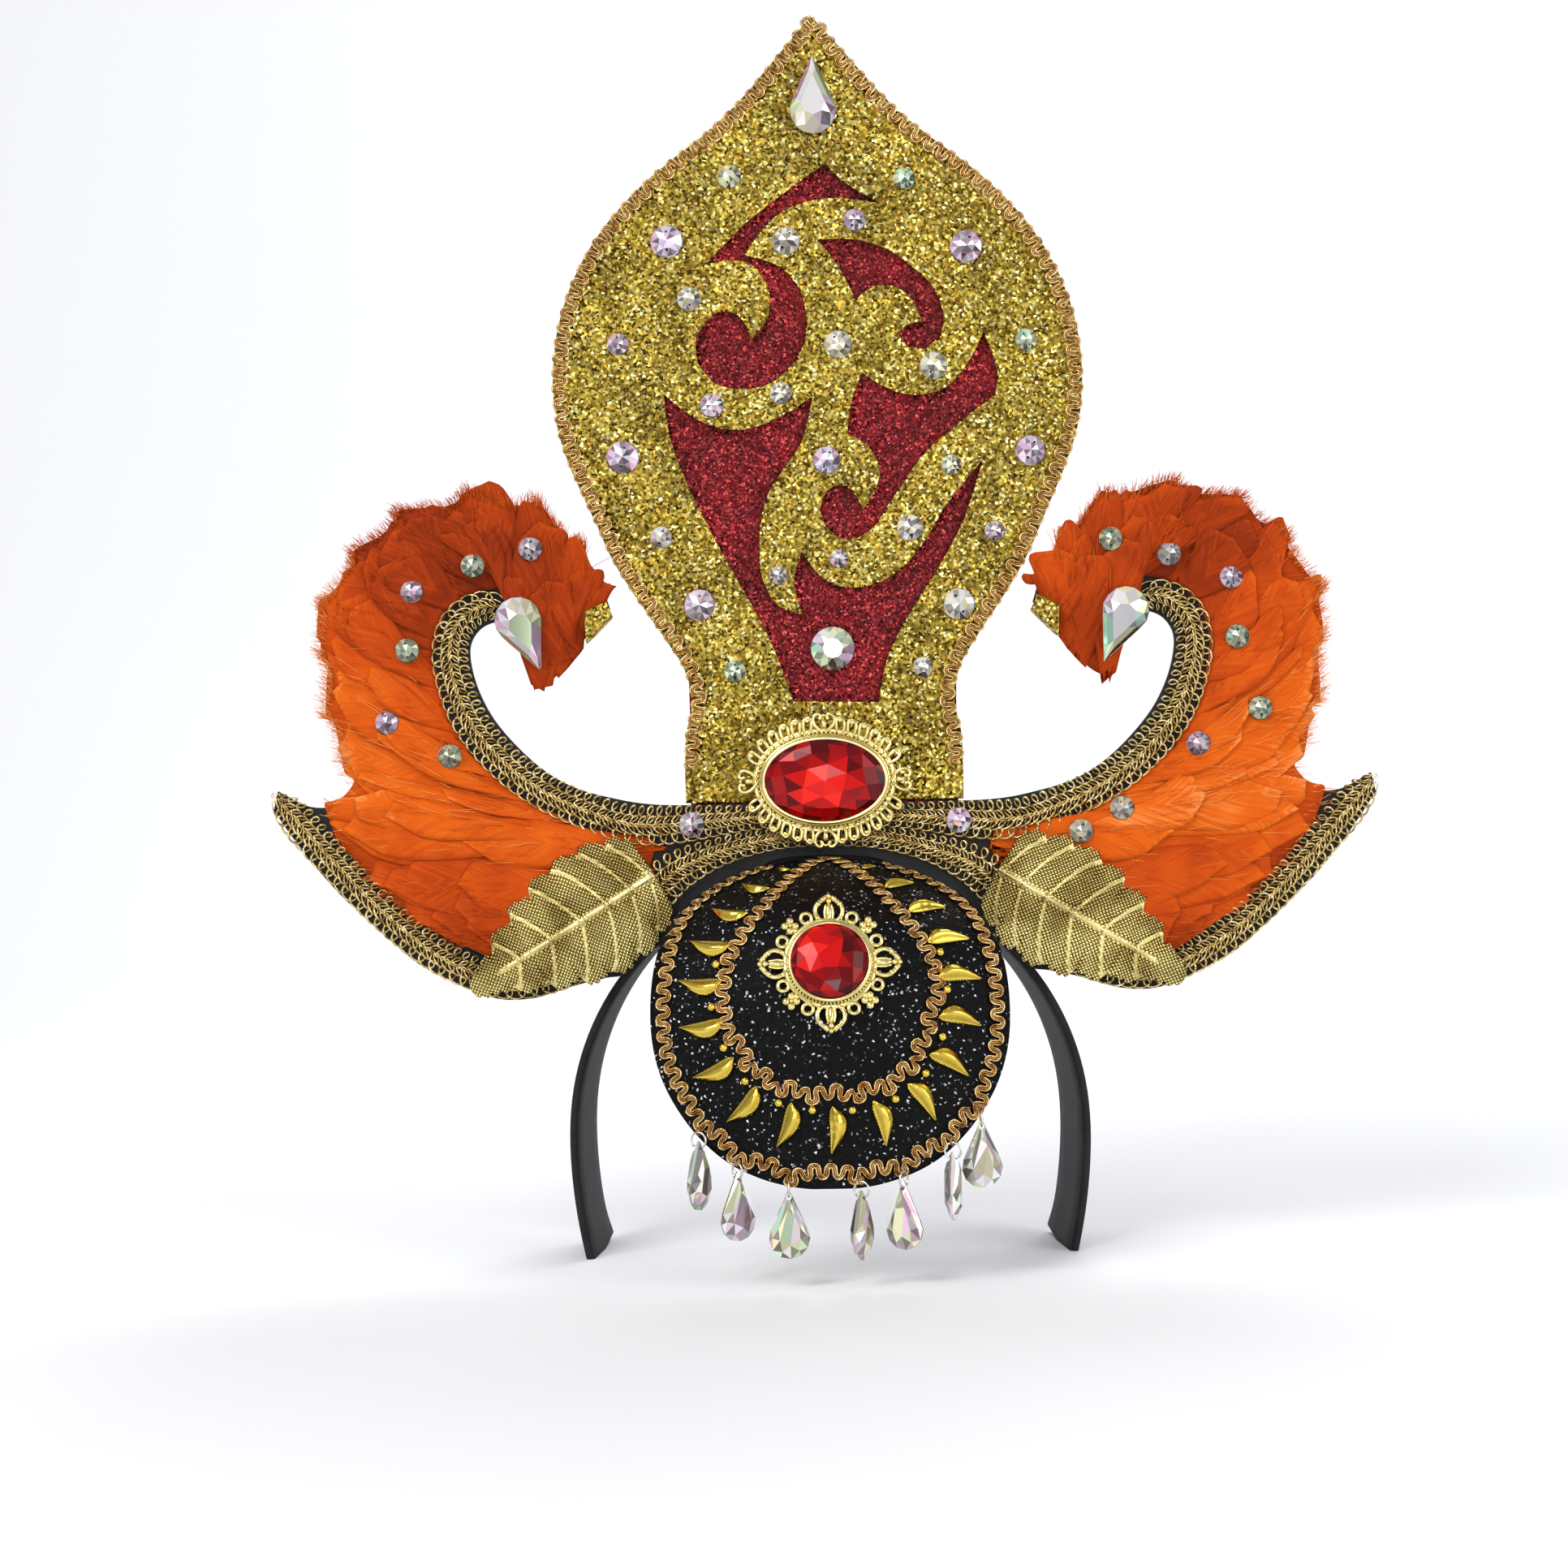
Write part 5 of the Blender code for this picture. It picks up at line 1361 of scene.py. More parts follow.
def make_feather():
    """Read the attribute shade, and the UV map, which holds metres across and along a vane."""
    material, tree, shader = new_material("orange_feather", roughness=0.8, sheen_weight=0.12,
                                          sheen_roughness=0.5)
    shader.inputs["Sheen Tint"].default_value = (1.0, 0.45, 0.15, 1.0)
    shader.inputs["Specular IOR Level"].default_value = 0.12
    parts = add_node(tree, "SeparateXYZ", {"Vector": add_node(tree, "UVMap").outputs["UV"]}).outputs
    slant = maths(tree, "SUBTRACT", maths(tree, "ABSOLUTE", parts["X"]),
                  maths(tree, "MULTIPLY", parts["Y"], BARB_SLANT))
    shade = add_node(tree, "Attribute", attribute_name="shade").outputs["Fac"]
    place = add_node(tree, "CombineXYZ", {"X": maths(tree, "MULTIPLY", slant, 900.0),
                                          "Y": maths(tree, "MULTIPLY", parts["Y"], 45.0),
                                          "Z": maths(tree, "MULTIPLY", shade, 9.0)}).outputs[0]
    barbs = add_node(tree, "TexNoise", {"Vector": place, "Scale": 1.0, "Detail": 3.0}).outputs["Fac"]
    cloud = noise(tree, 48.0, 2.0)
    mixed = shade
    for wave, strength in ((barbs, 0.42), (cloud, 0.42)):
        wave = maths(tree, "MULTIPLY", maths(tree, "SUBTRACT", wave, 0.5), strength)
        mixed = maths(tree, "ADD", mixed, wave)
    tone = ramp(tree, mixed, [
        (0.05, (0.12, 0.010, 0.001)), (0.30, (0.29, 0.027, 0.001)), (0.55, (0.50, 0.058, 0.002)),
        (0.80, (0.66, 0.112, 0.004)), (0.99, (0.88, 0.32, 0.08)),
    ])
    tree.links.new(tone, shader.inputs["Base Color"])
    tree.links.new(bump(tree, barbs, 0.0004, 0.4), shader.inputs["Normal"])
    return material


orange_feather = make_feather()
print("feather finish")

# %% The fan's surface
FAN_NAMES = ("feathers_left", "feathers_right")
FAN_SAMPLES = 240
FAN_START = 0.022
FREE_SHARE = 0.56
FREE_REACH = 0.0016
BRAID_REACH = 0.0062
LOBES = 11
LOBE_DEPTH = 0.0016
FAN_RISE = [(0.0, 0.0004), (0.05, 0.0014), (0.16, 0.0034), (0.38, 0.0052), (0.82, 0.0044),
            (1.0, 0.0032)]
FREE_TIP = 0.0016


def fan_rows(name):
    """Inner and outer ends of the feather rows, from the curl's end to the root."""
    low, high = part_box(name)
    sign = 1.0 if low.x + high.x > 0 else -1.0
    pairs = fold(back_rims(name)[0], Vector((sign * 0.099, low.y, 0.071)))
    middle = Vector((sign * 0.105, low.y, 0.05))
    nearer = sum((a - middle).length - (b - middle).length for a, b in pairs)
    pairs = pairs if nearer < 0 else [(b, a) for a, b in pairs]
    ends = []
    for k in range(2):
        path = smooth_path([pair[k] for pair in pairs], corners=False)
        along = np.linspace(0, len(path) - 1, FAN_SAMPLES)
        index = np.arange(len(path))
        even = np.stack([np.interp(along, index, path[:, j]) for j in range(3)], axis=1)
        padded = np.vstack([np.repeat(even[:1], 2, axis=0), even, np.repeat(even[-1:], 2, axis=0)])
        ends.append(sum(padded[i:i + FAN_SAMPLES] for i in range(5)) / 5)
    return ends[0], ends[1], sign


class Fan:
    """The surface of one wing: where a share along the rows and a share of a row's length lie."""

    def __init__(self, name):
        self.inner, outer, self.sign = fan_rows(name)
        self.rng = random.Random(name)
        u = np.linspace(0, 1, FAN_SAMPLES)
        free = np.interp(u, [FREE_SHARE - 0.02, FREE_SHARE + 0.06], [1.0, 0.0])
        lobe = LOBE_DEPTH * (np.abs(np.sin(math.pi * LOBES * u + 0.7)) ** 0.7 - 0.5)
        extra = free * (FREE_REACH + lobe) + (1 - free) * BRAID_REACH
        length = np.linalg.norm(outer - self.inner, axis=1)
        self.outer = self.inner + (outer - self.inner) * (1 + extra / length)[:, None]

    def ends(self, u):
        s = np.clip(FAN_START + np.asarray(u) * (1 - FAN_START), 0.0, 1.0) * (FAN_SAMPLES - 1)
        index = np.arange(FAN_SAMPLES)
        return [np.stack([np.interp(s, index, path[:, k]) for k in range(3)], axis=-1)
                for path in (self.inner, self.outer)]

    def point(self, u, t):
        inner, outer = self.ends(u)
        return inner + (outer - inner) * np.asarray(t)[..., None]

    def length(self, u):
        inner, outer = self.ends(u)
        return float(np.linalg.norm(outer - inner))

    def rise(self, u, t):
        """Height of the feathers over the board: low at the free edge, higher over the braid."""
        height = np.interp(t, *zip(*FAN_RISE))
        tip = (np.interp(t, [0.8, 1.0], [0.0, 1.0])
               * np.interp(u, [FREE_SHARE - 0.04, FREE_SHARE + 0.04], [1, 0]))
        return height * (1 - tip) + FREE_TIP * tip


for name in FAN_NAMES:
    fan = Fan(name)
    lengths = [fan.length(k / 20) for k in range(21)]
    print(name, "rows", round(min(lengths) * 1000), "to", round(max(lengths) * 1000), "mm long")

# %% The sheet under the vanes, and one vane
VANE_STEPS = 22
VANE_ROWS = 8
VANE_OUTLINE = [(0.0, 0.30), (0.20, 0.55), (0.50, 0.88), (0.75, 1.0), (0.88, 0.94), (0.95, 0.76),
                (0.985, 0.46), (1.0, 0.14)]
VANE_CROWN = 0.0005
VANE_TILT = 0.0004
SHEET_COLUMNS = 170
SHEET_ROWS = 12
FAN_TONE = [(0.0, 0.40), (0.10, 0.30), (0.30, 0.24), (0.42, 0.44), (0.55, 0.66), (0.70, 0.72),
            (0.82, 0.52), (0.92, 0.40), (1.0, 0.32)]


def vane_master(steps, rows):
    """A flat grid that is copied for every vane."""
    bm = bmesh.new()
    bmesh.ops.create_grid(bm, x_segments=steps, y_segments=rows, size=0.5)
    bm.loops.layers.uv.new("UVMap")
    bm.verts.layers.float.new("shade")
    return to_mesh("vane_master", bm)


def write_uv(mesh, first, second):
    """Fill the UV map from two values at every vertex."""
    corner = np.empty(len(mesh.loops), np.int32)
    mesh.loops.foreach_get("vertex_index", corner)
    pairs = np.stack([first[corner], second[corner]], axis=1)
    mesh.uv_layers["UVMap"].data.foreach_set("uv", pairs.ravel())


def facing_front(mesh):
    """A bmesh of a sheet with its faces turned to the front; the mesh is used up."""
    bm = bmesh.new()
    take_in(bm, mesh)
    bm.normal_update()
    if sum(face.normal.y for face in bm.faces) > 0:
        bmesh.ops.reverse_faces(bm, faces=bm.faces)
    return bm


def shape_copy(master, place):
    """Copy the master and lay it out: place gives spots, metres along, metres across and shades."""
    copy = master.copy()
    co = read_places(copy)
    spots, along, across, shades = place(co[:, 0] + 0.5, co[:, 1] * 2)
    copy.vertices.foreach_set("co", spots.ravel())
    copy.attributes["shade"].data.foreach_set("value", shades)
    write_uv(copy, across, along)
    return copy


def lay_sheet(fan, master):
    """The smooth sheet covers the board and gets no higher than the lowest vanes; its colour is a
    little darker than theirs, painted shade under the vanes.
    """
    def place(u, across):
        t = -0.06 + 1.05 * (across + 1) / 2
        spots = fan.point(u, t)
        spots[:, 1] = fan.inner[0][1] - np.maximum(fan.rise(u, t) * 0.25, 0.0003)
        return spots, t * 0.05, u * 0.3, np.interp(u, *zip(*FAN_TONE)) - 0.06
    return shape_copy(master, place)


def lay_vane(fan, master, u, half, start, reach, layer, shade, turn):
    """Bend one copy of the master over the fan and store its shade."""
    rng = fan.rng
    length = fan.length(u)
    half = min(half, 0.5 * length)
    lift = rng.uniform(0.0, 0.0004)
    phase, beat, roll = rng.uniform(0, 6), rng.uniform(6, 11), rng.uniform(2.0, 3.5)

    def place(along, across):
        along = 1 - (1 - along) ** 1.5
        t = start + (reach - start) * (along - 0.05 * across ** 2 * along ** 4)
        middle = u + turn * along ** 1.5
        here, ahead = fan.point(middle, t), fan.point(middle + 0.004, t)
        side = (ahead - here) / np.maximum(np.linalg.norm(ahead - here, axis=1, keepdims=True), 1e-9)
        width = half * np.interp(along, *zip(*VANE_OUTLINE)) * (1 + 0.04 * np.sin(along * beat + phase))
        spots = here + side * (across * width)[:, None]
        free = np.clip(along * 4, 0, 1)
        height = fan.rise(middle, t) * layer + free * (
            lift - VANE_CROWN * across ** 2 + VANE_TILT * across
            + 0.00015 * np.sin(across * roll + along * beat + phase))
        spots[:, 1] = fan.inner[0][1] - np.maximum(height, 0.0004)
        # darker towards the root and the sides; the paler tips are painted light, the bright backdrop
        # showing through thin barbs
        tones = (shade + 0.06 * (along - 0.5) - 0.05 * np.abs(across) ** 3
                 + 0.14 * np.clip((along - 0.9) * 10, 0, 1))
        return spots, along * (reach - start) * length, across * width, tones

    return shape_copy(master, place)


print("a vane has", VANE_STEPS * VANE_ROWS, "faces")

# %% Hairs
HAIR_RADIUS = 0.00007


def lay_hair(whole, root, direction, length, lift, shade):
    """One loose barb: a slender three-sided cone."""
    shades = whole.verts.layers.float["shade"]
    turn = Vector(direction).to_track_quat("Z", "Y").to_matrix().to_4x4()
    middle = Vector(root) + Vector(direction) * length / 2 + FRONT * lift
    cone = bmesh.ops.create_cone(whole, cap_ends=True, segments=3, radius1=HAIR_RADIUS,
                                 radius2=HAIR_RADIUS * 0.3, depth=length,
                                 matrix=Matrix.Translation(middle) @ turn)
    for vert in cone["verts"]:
        vert[shades] = shade


# %% Two fans of feathers
LAYERS = [
    # vanes, half width, start, shortest and longest reach, height as a share of the fan's
    (17, 0.0135, -0.08, 0.98, 1.02, 0.45),
    (20, 0.0105, -0.08, 0.82, 0.99, 0.70),
    (17, 0.0095, -0.08, 0.50, 0.80, 0.92),
]
EDGE_HAIRS = 1500
LYING_HAIRS = 520
VANE_THICKNESS = 0.00012
# painted light: the right wing's feathers are coloured lighter than the left's, as the light falls on
# them
PAINTED_LIGHT_SHIFT = {"feathers_left": 0.0, "feathers_right": 0.08}


def feather_fan(name):
    fan = Fan(name)
    rng = fan.rng
    whole = bmesh.new()
    whole.verts.layers.float.new("shade")
    whole.loops.layers.uv.new("UVMap")

    def tone(u):
        return float(np.interp(u, *zip(*FAN_TONE))) + PAINTED_LIGHT_SHIFT[name]

    sheet = vane_master(SHEET_COLUMNS, SHEET_ROWS)
    take_in(whole, lay_sheet(fan, sheet))
    bpy.data.meshes.remove(sheet)
    master = vane_master(VANE_STEPS, VANE_ROWS)
    for vanes, half, start, shortest, longest, layer in LAYERS:
        for i in range(vanes):
            u = (i + 0.5 + rng.uniform(-0.25, 0.25)) / vanes
            half_here, reach = half * rng.uniform(0.85, 1.15), rng.uniform(shortest, longest)
            shade, turn = tone(u) + rng.uniform(-0.05, 0.05), rng.uniform(-0.02, 0.02)
            take_in(whole, lay_vane(fan, master, u, half_here, start, reach, layer, shade, turn))
    bpy.data.meshes.remove(master)
    for i in range(EDGE_HAIRS):
        u = rng.random() * (FREE_SHARE + 0.1) if i % 5 else rng.random()
        t = rng.uniform(0.94, 1.0)
        point, inner = fan.point(u, t), fan.point(u, t - 0.2)
        out = Vector(point - inner).normalized()
        out = Matrix.Rotation(rng.gauss(0.0, 0.28), 3, "Y") @ out
        out = (out + FRONT * rng.uniform(-0.05, 0.2)).normalized()
        # the standing hairs are coloured paler: painted light, the bright backdrop showing through them
        lay_hair(whole, point, out, rng.uniform(0.0018, 0.0042), float(fan.rise(u, t)) * 0.8,
                 tone(u) + rng.uniform(0.05, 0.55))
    for i in range(LYING_HAIRS):
        u, t = rng.random(), rng.uniform(0.05, 0.85)
        point = fan.point(u, t)
        ahead = fan.point(min(1.0, u + rng.uniform(-0.02, 0.02)), t + 0.2)
        lay_hair(whole, point, Vector(ahead - point).normalized(), rng.uniform(0.004, 0.012),
                 float(fan.rise(u, t)) + 0.0003, tone(u) + rng.uniform(-0.1, 0.4))
    piece = add_mesh("feather_fan_" + name.split("_")[1], whole, orange_feather)
    add_wall(piece, "barb_depth", VANE_THICKNESS, offset=0.0)
    return finish_piece(piece, "orange_feather", name)


for name in FAN_NAMES:
    feather_fan(name)

# %% Glitter patch at the end of each curl
PATCH_HEIGHT = 0.0050
PATCH_LENGTH = 0.050
PATCH_REACH = (-0.15, 0.22)
PATCH_GRID = (24, 14)


def curl_patch(name):
    """A scrap of gold glitter sheet lies over the first feathers, beside the big stone."""
    fan = Fan(name)
    master = vane_master(*PATCH_GRID)

    def place(along, across):
        u = PATCH_LENGTH * (1 - along) - FAN_START
        t = PATCH_REACH[0] + (PATCH_REACH[1] - PATCH_REACH[0]) * (across + 1) / 2
        spots = fan.point(u, t)
        rim = np.clip(np.minimum(1 - along, 1 - np.abs(across)) * 8, 0, 1)
        spots[:, 1] = fan.inner[0][1] - 0.0004 - PATCH_HEIGHT * rim ** 0.5
        return spots, along, across, along * 0

    bm = facing_front(shape_copy(master, place))
    bpy.data.meshes.remove(master)
    patch = add_mesh("curl_patch_" + name.split("_")[1], bm, gold_glitter)
    return finish_piece(patch, "gold_glitter")


for name in FAN_NAMES:
    curl_patch(name)

# %% [markdown]
# ## Stamped leaves
# A leaf is pressed from thin brass: a thick smooth midrib, curved veins that end at the notches,
# rounded teeth, and rows of tiny studs between the veins. A grid is shaped along the midrib: the
# outline comes from the solid's rows, and veins are ridges along curves in the grid's own
# coordinates. The rows of studs are too fine for faces, so they are a bump in the finish, with
# painted shade between the studs, painted highlights on their tops, and painted highlight patches.

# %% Leaf finish
LEAF_STUD_PITCH = 0.00105
LEAF_WOBBLE = 0.0016


def make_leaf_gold():
    """Read the UV map, which holds metres along and across, and the attribute plain."""
    material, tree, shader = new_material("leaf_gold", metallic=1.0, roughness=0.26)
    uv = add_node(tree, "UVMap").outputs["UV"]
    slope = (0.0, 0.0, math.radians(38))
    turned = add_node(tree, "Mapping", {"Vector": uv, "Rotation": slope}).outputs[0]
    wobble = add_node(tree, "TexNoise", {"Vector": uv, "Scale": 90.0, "Detail": 1.0})
    shift = add_node(tree, "VectorMath", {0: wobble.outputs["Color"], 3: LEAF_WOBBLE},
                     operation="SCALE").outputs[0]
    parts = add_node(tree, "SeparateXYZ", {"Vector": add_node(
        tree, "VectorMath", {0: turned, 1: shift}, operation="ADD").outputs[0]})
    waves = [maths(tree, "ABSOLUTE", maths(tree, "SINE", maths(
        tree, "MULTIPLY", parts.outputs[axis], math.pi / LEAF_STUD_PITCH))) for axis in ("X", "Y")]
    studs = maths(tree, "MULTIPLY", *waves)
    plain = add_node(tree, "Attribute", attribute_name="plain").outputs["Fac"]
    rough = maths(tree, "MULTIPLY", studs, maths(tree, "SUBTRACT", 1.0, plain))
    # painted shade between the studs and painted highlights on their tops
    painted_stud_shading = ramp(tree, studs, [(0.15, (0.13, 0.085, 0.010)), (0.50, (0.90, 0.76, 0.30))])
    colour = blend_colour(tree, plain, painted_stud_shading, (0.90, 0.76, 0.32, 1.0))
    # painted highlights: broad brighter and darker patches
    cloud = ramp(tree, noise(tree, 70.0, 2.0), [(0.35, (0.55, 0.50, 0.42)), (0.60, (1.0, 1.0, 1.0))])
    tree.links.new(blend_colour(tree, 1.0, colour, cloud, "MULTIPLY"), shader.inputs["Base Color"])
    tree.links.new(bump(tree, rough, 0.0004, 1.0), shader.inputs["Normal"])
    return material


leaf_gold = make_leaf_gold()
print("leaf studs every", LEAF_STUD_PITCH * 1000, "mm")

# %% Leaf shape
LEAF_COLUMNS = 170
LEAF_ROWS = 84
LEAF_METAL = 0.00055
VEIN_SWEEP = 0.15
VEIN_HALF = 0.00042
VEIN_RISE = 0.00045
RIB_HALF = 0.0012
RIB_RISE = 0.0010
RIB_END = 0.86
CELL_PUFF = 0.0009
LEAF_TOOTH = 0.0014
LEAF_TOOTH_PITCH = 0.0031


def leaf_frame(name):
    """Root, directions, length, half widths, back and depth of a leaf, from its solid."""
    points = solid_points(name)
    centre = sum(points, Vector()) / len(points)
    flat = np.array([(p.x - centre.x, p.z - centre.z) for p in points])
    axis = np.linalg.svd(flat)[2][0]
    axis = Vector((axis[0], 0.0, axis[1]))
    if axis.x * centre.x < 0:
        axis = -axis
    across = axis.cross(FRONT)
    if across.z < 0:
        across = -across
    reach = [(p - centre).dot(axis) for p in points]
    length = max(reach) - min(reach)
    root = centre + axis * min(reach)
    tip = max(points, key=lambda p: (p - centre).dot(axis))
    root = root + across * (tip - root).dot(across)
    rows = {}
    for p in points:
        rows.setdefault(round((p - root).dot(axis) / length, 2), []).append((p - root).dot(across))
    upper = sorted((s, max(t)) for s, t in rows.items())
    lower = sorted((s, -min(t)) for s, t in rows.items())
    back = max(p.y for p in points)
    top = min(p.y for p in points)
    return root, axis, across, length, upper, lower, back, back - top


length, dome = (leaf_frame("leaf_right")[k] for k in (3, 7))
print("leaf", round(length * 1000), "mm long,", round(dome * 1000, 1), "mm deep")


def half_width(rows):
    """Half width along the leaf: each lobe is full up to its peak and then drops to a notch."""
    def width(s):
        out = np.interp(s, *zip(*rows))
        for (s0, w0), (s1, w1) in zip(rows, rows[1:]):
            x = np.clip((s - s0) / (s1 - s0), 0, 1)
            inside = (s >= s0) & (s <= s1)
            lobe = w0 + (w1 - w0) * (x ** 4 if w1 < w0 else np.sin(x * math.pi / 2) ** 0.8)
            out = np.where(inside, lobe, out)
        return out
    return width


def vein_ends(rows):
    """Veins end at the notches: rows narrower than their neighbours."""
    widths = [w for _, w in rows]
    return [rows[i][0] for i in range(3, len(rows) - 2, 2) if widths[i] < widths[i - 1]]


def ridge(distance, half):
    """A rounded ridge with a fine groove on either side."""
    return (np.exp(-(distance / half) ** 2)
            - 0.45 * np.exp(-((np.abs(distance) - 2.0 * half) / (0.75 * half)) ** 2))


def make_leaf(name):
    """Shape a grid along the midrib: outline and teeth first, then the dome, rib and veins."""
    root, axis, across, length, upper, lower, back, dome = leaf_frame(name)
    bm = bmesh.new()
    bmesh.ops.create_grid(bm, x_segments=LEAF_COLUMNS, y_segments=LEAF_ROWS, size=1.0)
    bm.loops.layers.uv.new("UVMap")
    mesh = to_mesh(name, bm)
    co = read_places(mesh)
    s, v = (co[:, 0] + 1) / 2, co[:, 1]
    wide = np.where(v >= 0, half_width(upper)(s), half_width(lower)(s))
    wave = np.abs(np.sin(s * length / LEAF_TOOTH_PITCH * math.pi)) - 0.5
    side = v * wide + np.sign(v) * (LEAF_TOOTH * np.abs(v) ** 3 * wave)
    ends = (wide / wide.max()) ** 0.5
    height = (dome - LEAF_METAL - RIB_RISE - CELL_PUFF) * (1 - v ** 2) * ends
    along = s * length
    shown = np.clip((RIB_END - s) * 25, 0, 1)
    rib = ridge(side, RIB_HALF * (1 - 0.5 * s)) * shown
    raised = np.exp(-(side / (RIB_HALF * (1 - 0.5 * s))) ** 2) * shown
    nearest = np.abs(side)
    height = height + RIB_RISE * (1 - 0.6 * s) * rib
    for rows, half in ((upper, v >= 0), (lower, v < 0)):
        for end in vein_ends(rows):
            reach = VEIN_SWEEP * wide / 0.021 * (1 - np.abs(v) ** 1.25)
            distance = np.where(half, (s - end + reach) * length * 0.85, 1.0)
            height = height + VEIN_RISE * ridge(distance, VEIN_HALF)
            nearest = np.minimum(nearest, np.abs(distance))
            raised = np.maximum(raised, np.exp(-(distance / VEIN_HALF) ** 2))
    height = np.maximum(height + CELL_PUFF * (1 - np.exp(-(nearest / 0.003) ** 2)), 0.0)
    base = np.array(root)
    base[1] = back
    spots = (base + along[:, None] * np.array(axis) + side[:, None] * np.array(across)
             + height[:, None] * np.array(FRONT))
    spots[:, 1] -= LEAF_METAL
    mesh.vertices.foreach_set("co", spots.ravel())
    plain = mesh.attributes.new("plain", "FLOAT", "POINT")
    plain.data.foreach_set("value", np.clip(raised * 1.4, 0, 1))
    write_uv(mesh, along, side)
    leaf = add_mesh("stamped_" + name, facing_front(mesh), leaf_gold)
    add_wall(leaf, "metal", LEAF_METAL)
    return finish_piece(leaf, "gold_metal", name)


for name in ("leaf_left", "leaf_right"):
    make_leaf(name)

# %% [markdown]
# ## Filigree settings
# The two large red stones sit in cast openwork. Castings like these are built from very few
# forms: round wire bent into loops and scrolls, and small balls. Each form is made once as a
# tube or a ball and set round the stone by angle, so the openings between them are real.

# %% Places round a stone
class Mount:
    """The plane of a setting: x to the right, y up, z out, read from its solid."""

    def __init__(self, setting, stone):
        points = np.array([tuple(p) for p in solid_points(setting)])
        out = Vector(np.linalg.svd(points - points.mean(axis=0))[2][2])
        self.out = out if out.y < 0 else -out
        self.right = Vector((0, 0, 1)).cross(-self.out).normalized()
        if self.right.x < 0:
            self.right = -self.right
        self.up = self.out.cross(self.right)
        if self.up.z < 0:
            self.up = -self.up
        low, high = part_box(stone)
        middle = (low + high) / 2
        self.back = max(Vector(p).dot(-self.out) for p in points)
        self.centre = middle - self.out * (middle.dot(self.out) + self.back)
        rim = solid_points(stone)
        self.radii = tuple(max(abs((p - middle).dot(axis)) for p in rim)
                           for axis in (self.right, self.up))

    def frame(self, angle, out=0.0):
        """A matrix at a place on the stone's rim: x outward, y along the rim, z out."""
        a, b = self.radii
        x, y = math.cos(angle), math.sin(angle)
        spot = self.centre + self.right * a * x + self.up * b * y + self.out * out
        normal = (self.right * x / a + self.up * y / b).normalized()
        along = self.out.cross(normal)
        turn = Matrix((normal, along, self.out)).transposed().to_4x4()
        return Matrix.Translation(spot) @ turn

    def even_angles(self, count, start=0.0):
        """Angles whose places are evenly spaced along the rim."""
        fine = np.linspace(0, math.tau, 721)
        x, y = self.radii[0] * np.cos(fine), self.radii[1] * np.sin(fine)
        steps = np.concatenate([[0.0], np.cumsum(np.hypot(np.diff(x), np.diff(y)))])
        return np.interp((np.arange(count) + start) / count * steps[-1], steps, fine)


oval = Mount("oval_setting", "oval_stone")
disc = Mount("round_setting", "round_stone")
for mount in (oval, disc):
    print("stone radii", [round(r * 1000, 1) for r in mount.radii], "mm")

# %% Wire, balls and rings of a casting
WIRE_STEP = 0.0007
WIRE_SIDES = 6
RIM_SECTION_SIDES = 8
RIM_STATIONS = 96


def cast_wire(casting, matrix, points, radius, closed=False):
    """Bend round wire through points given in millimetres, and set it in place."""
    path = smooth_path([Vector(p) / 1000 for p in points], closed=closed, corners=False,
                       step=WIRE_STEP)
    bm = tube(bmesh.new(), path, radius / 1000, WIRE_SIDES, closed=closed)
    bmesh.ops.holes_fill(bm, edges=bm.edges, sides=0)
    bmesh.ops.transform(bm, verts=bm.verts, matrix=matrix)
    take_in(casting, to_mesh("wire", bm))


def cast_ball(casting, matrix, place, radius, stretch=(1.0, 1.0, 1.0), fine=2):
    """A small ball; its place and radius are in millimetres."""
    where = matrix @ Matrix.Translation(Vector(place) / 1000) @ Matrix.Diagonal((*stretch, 1.0))
    bmesh.ops.create_icosphere(casting, subdivisions=fine, radius=radius / 1000, matrix=where)


def cast_rim(casting, mount, offset, radius, lift, flat=1.0):
    """A band of round wire that follows the stone's rim at a distance."""
    path = [mount.frame(angle, lift / 1000) @ Vector((offset / 1000, 0, 0))
            for angle in mount.even_angles(RIM_STATIONS)]
    local = Matrix((mount.right, mount.up, mount.out)).transposed().to_4x4()
    back = local.inverted()
    bm = tube(bmesh.new(), [back @ p for p in path], radius / 1000, RIM_SECTION_SIDES, flat=flat,
              closed=True)
    bmesh.ops.transform(bm, verts=bm.verts, matrix=local)
    take_in(casting, to_mesh("rim", bm))


def finish_casting(name, casting, setting):
    bmesh.ops.recalc_face_normals(casting, faces=casting.faces)
    return finish_piece(add_mesh(name, casting, pale_gold), "gold_metal", setting)


# %% Oval setting
OVAL_PETALS = 32
PETAL = [(3.0, -0.8, 1.0), (3.1, 0.8, 1.0), (5.2, 1.35, 1.5), (7.4, 1.3, 1.4), (8.3, 0.1, 1.0),
         (7.4, -1.25, 1.4), (5.2, -1.3, 1.5)]
PETAL_LEAN = 0.14
HEART = [(2.6, 0.3, 0.9), (3.6, 1.6, 1.3), (5.4, 3.2, 1.6), (7.4, 3.7, 1.5), (8.9, 2.8, 1.3),
         (9.0, 1.5, 1.2), (8.0, 1.0, 1.2), (7.2, 1.7, 1.3)]
POLE_CLEARANCE = 0.13


def leaning(points, lean):
    """Push the outer end of a petal sideways."""
    return [(x, y + lean * (x - 3.0) ** 1.5 * 0.5, z) for x, y, z in points]


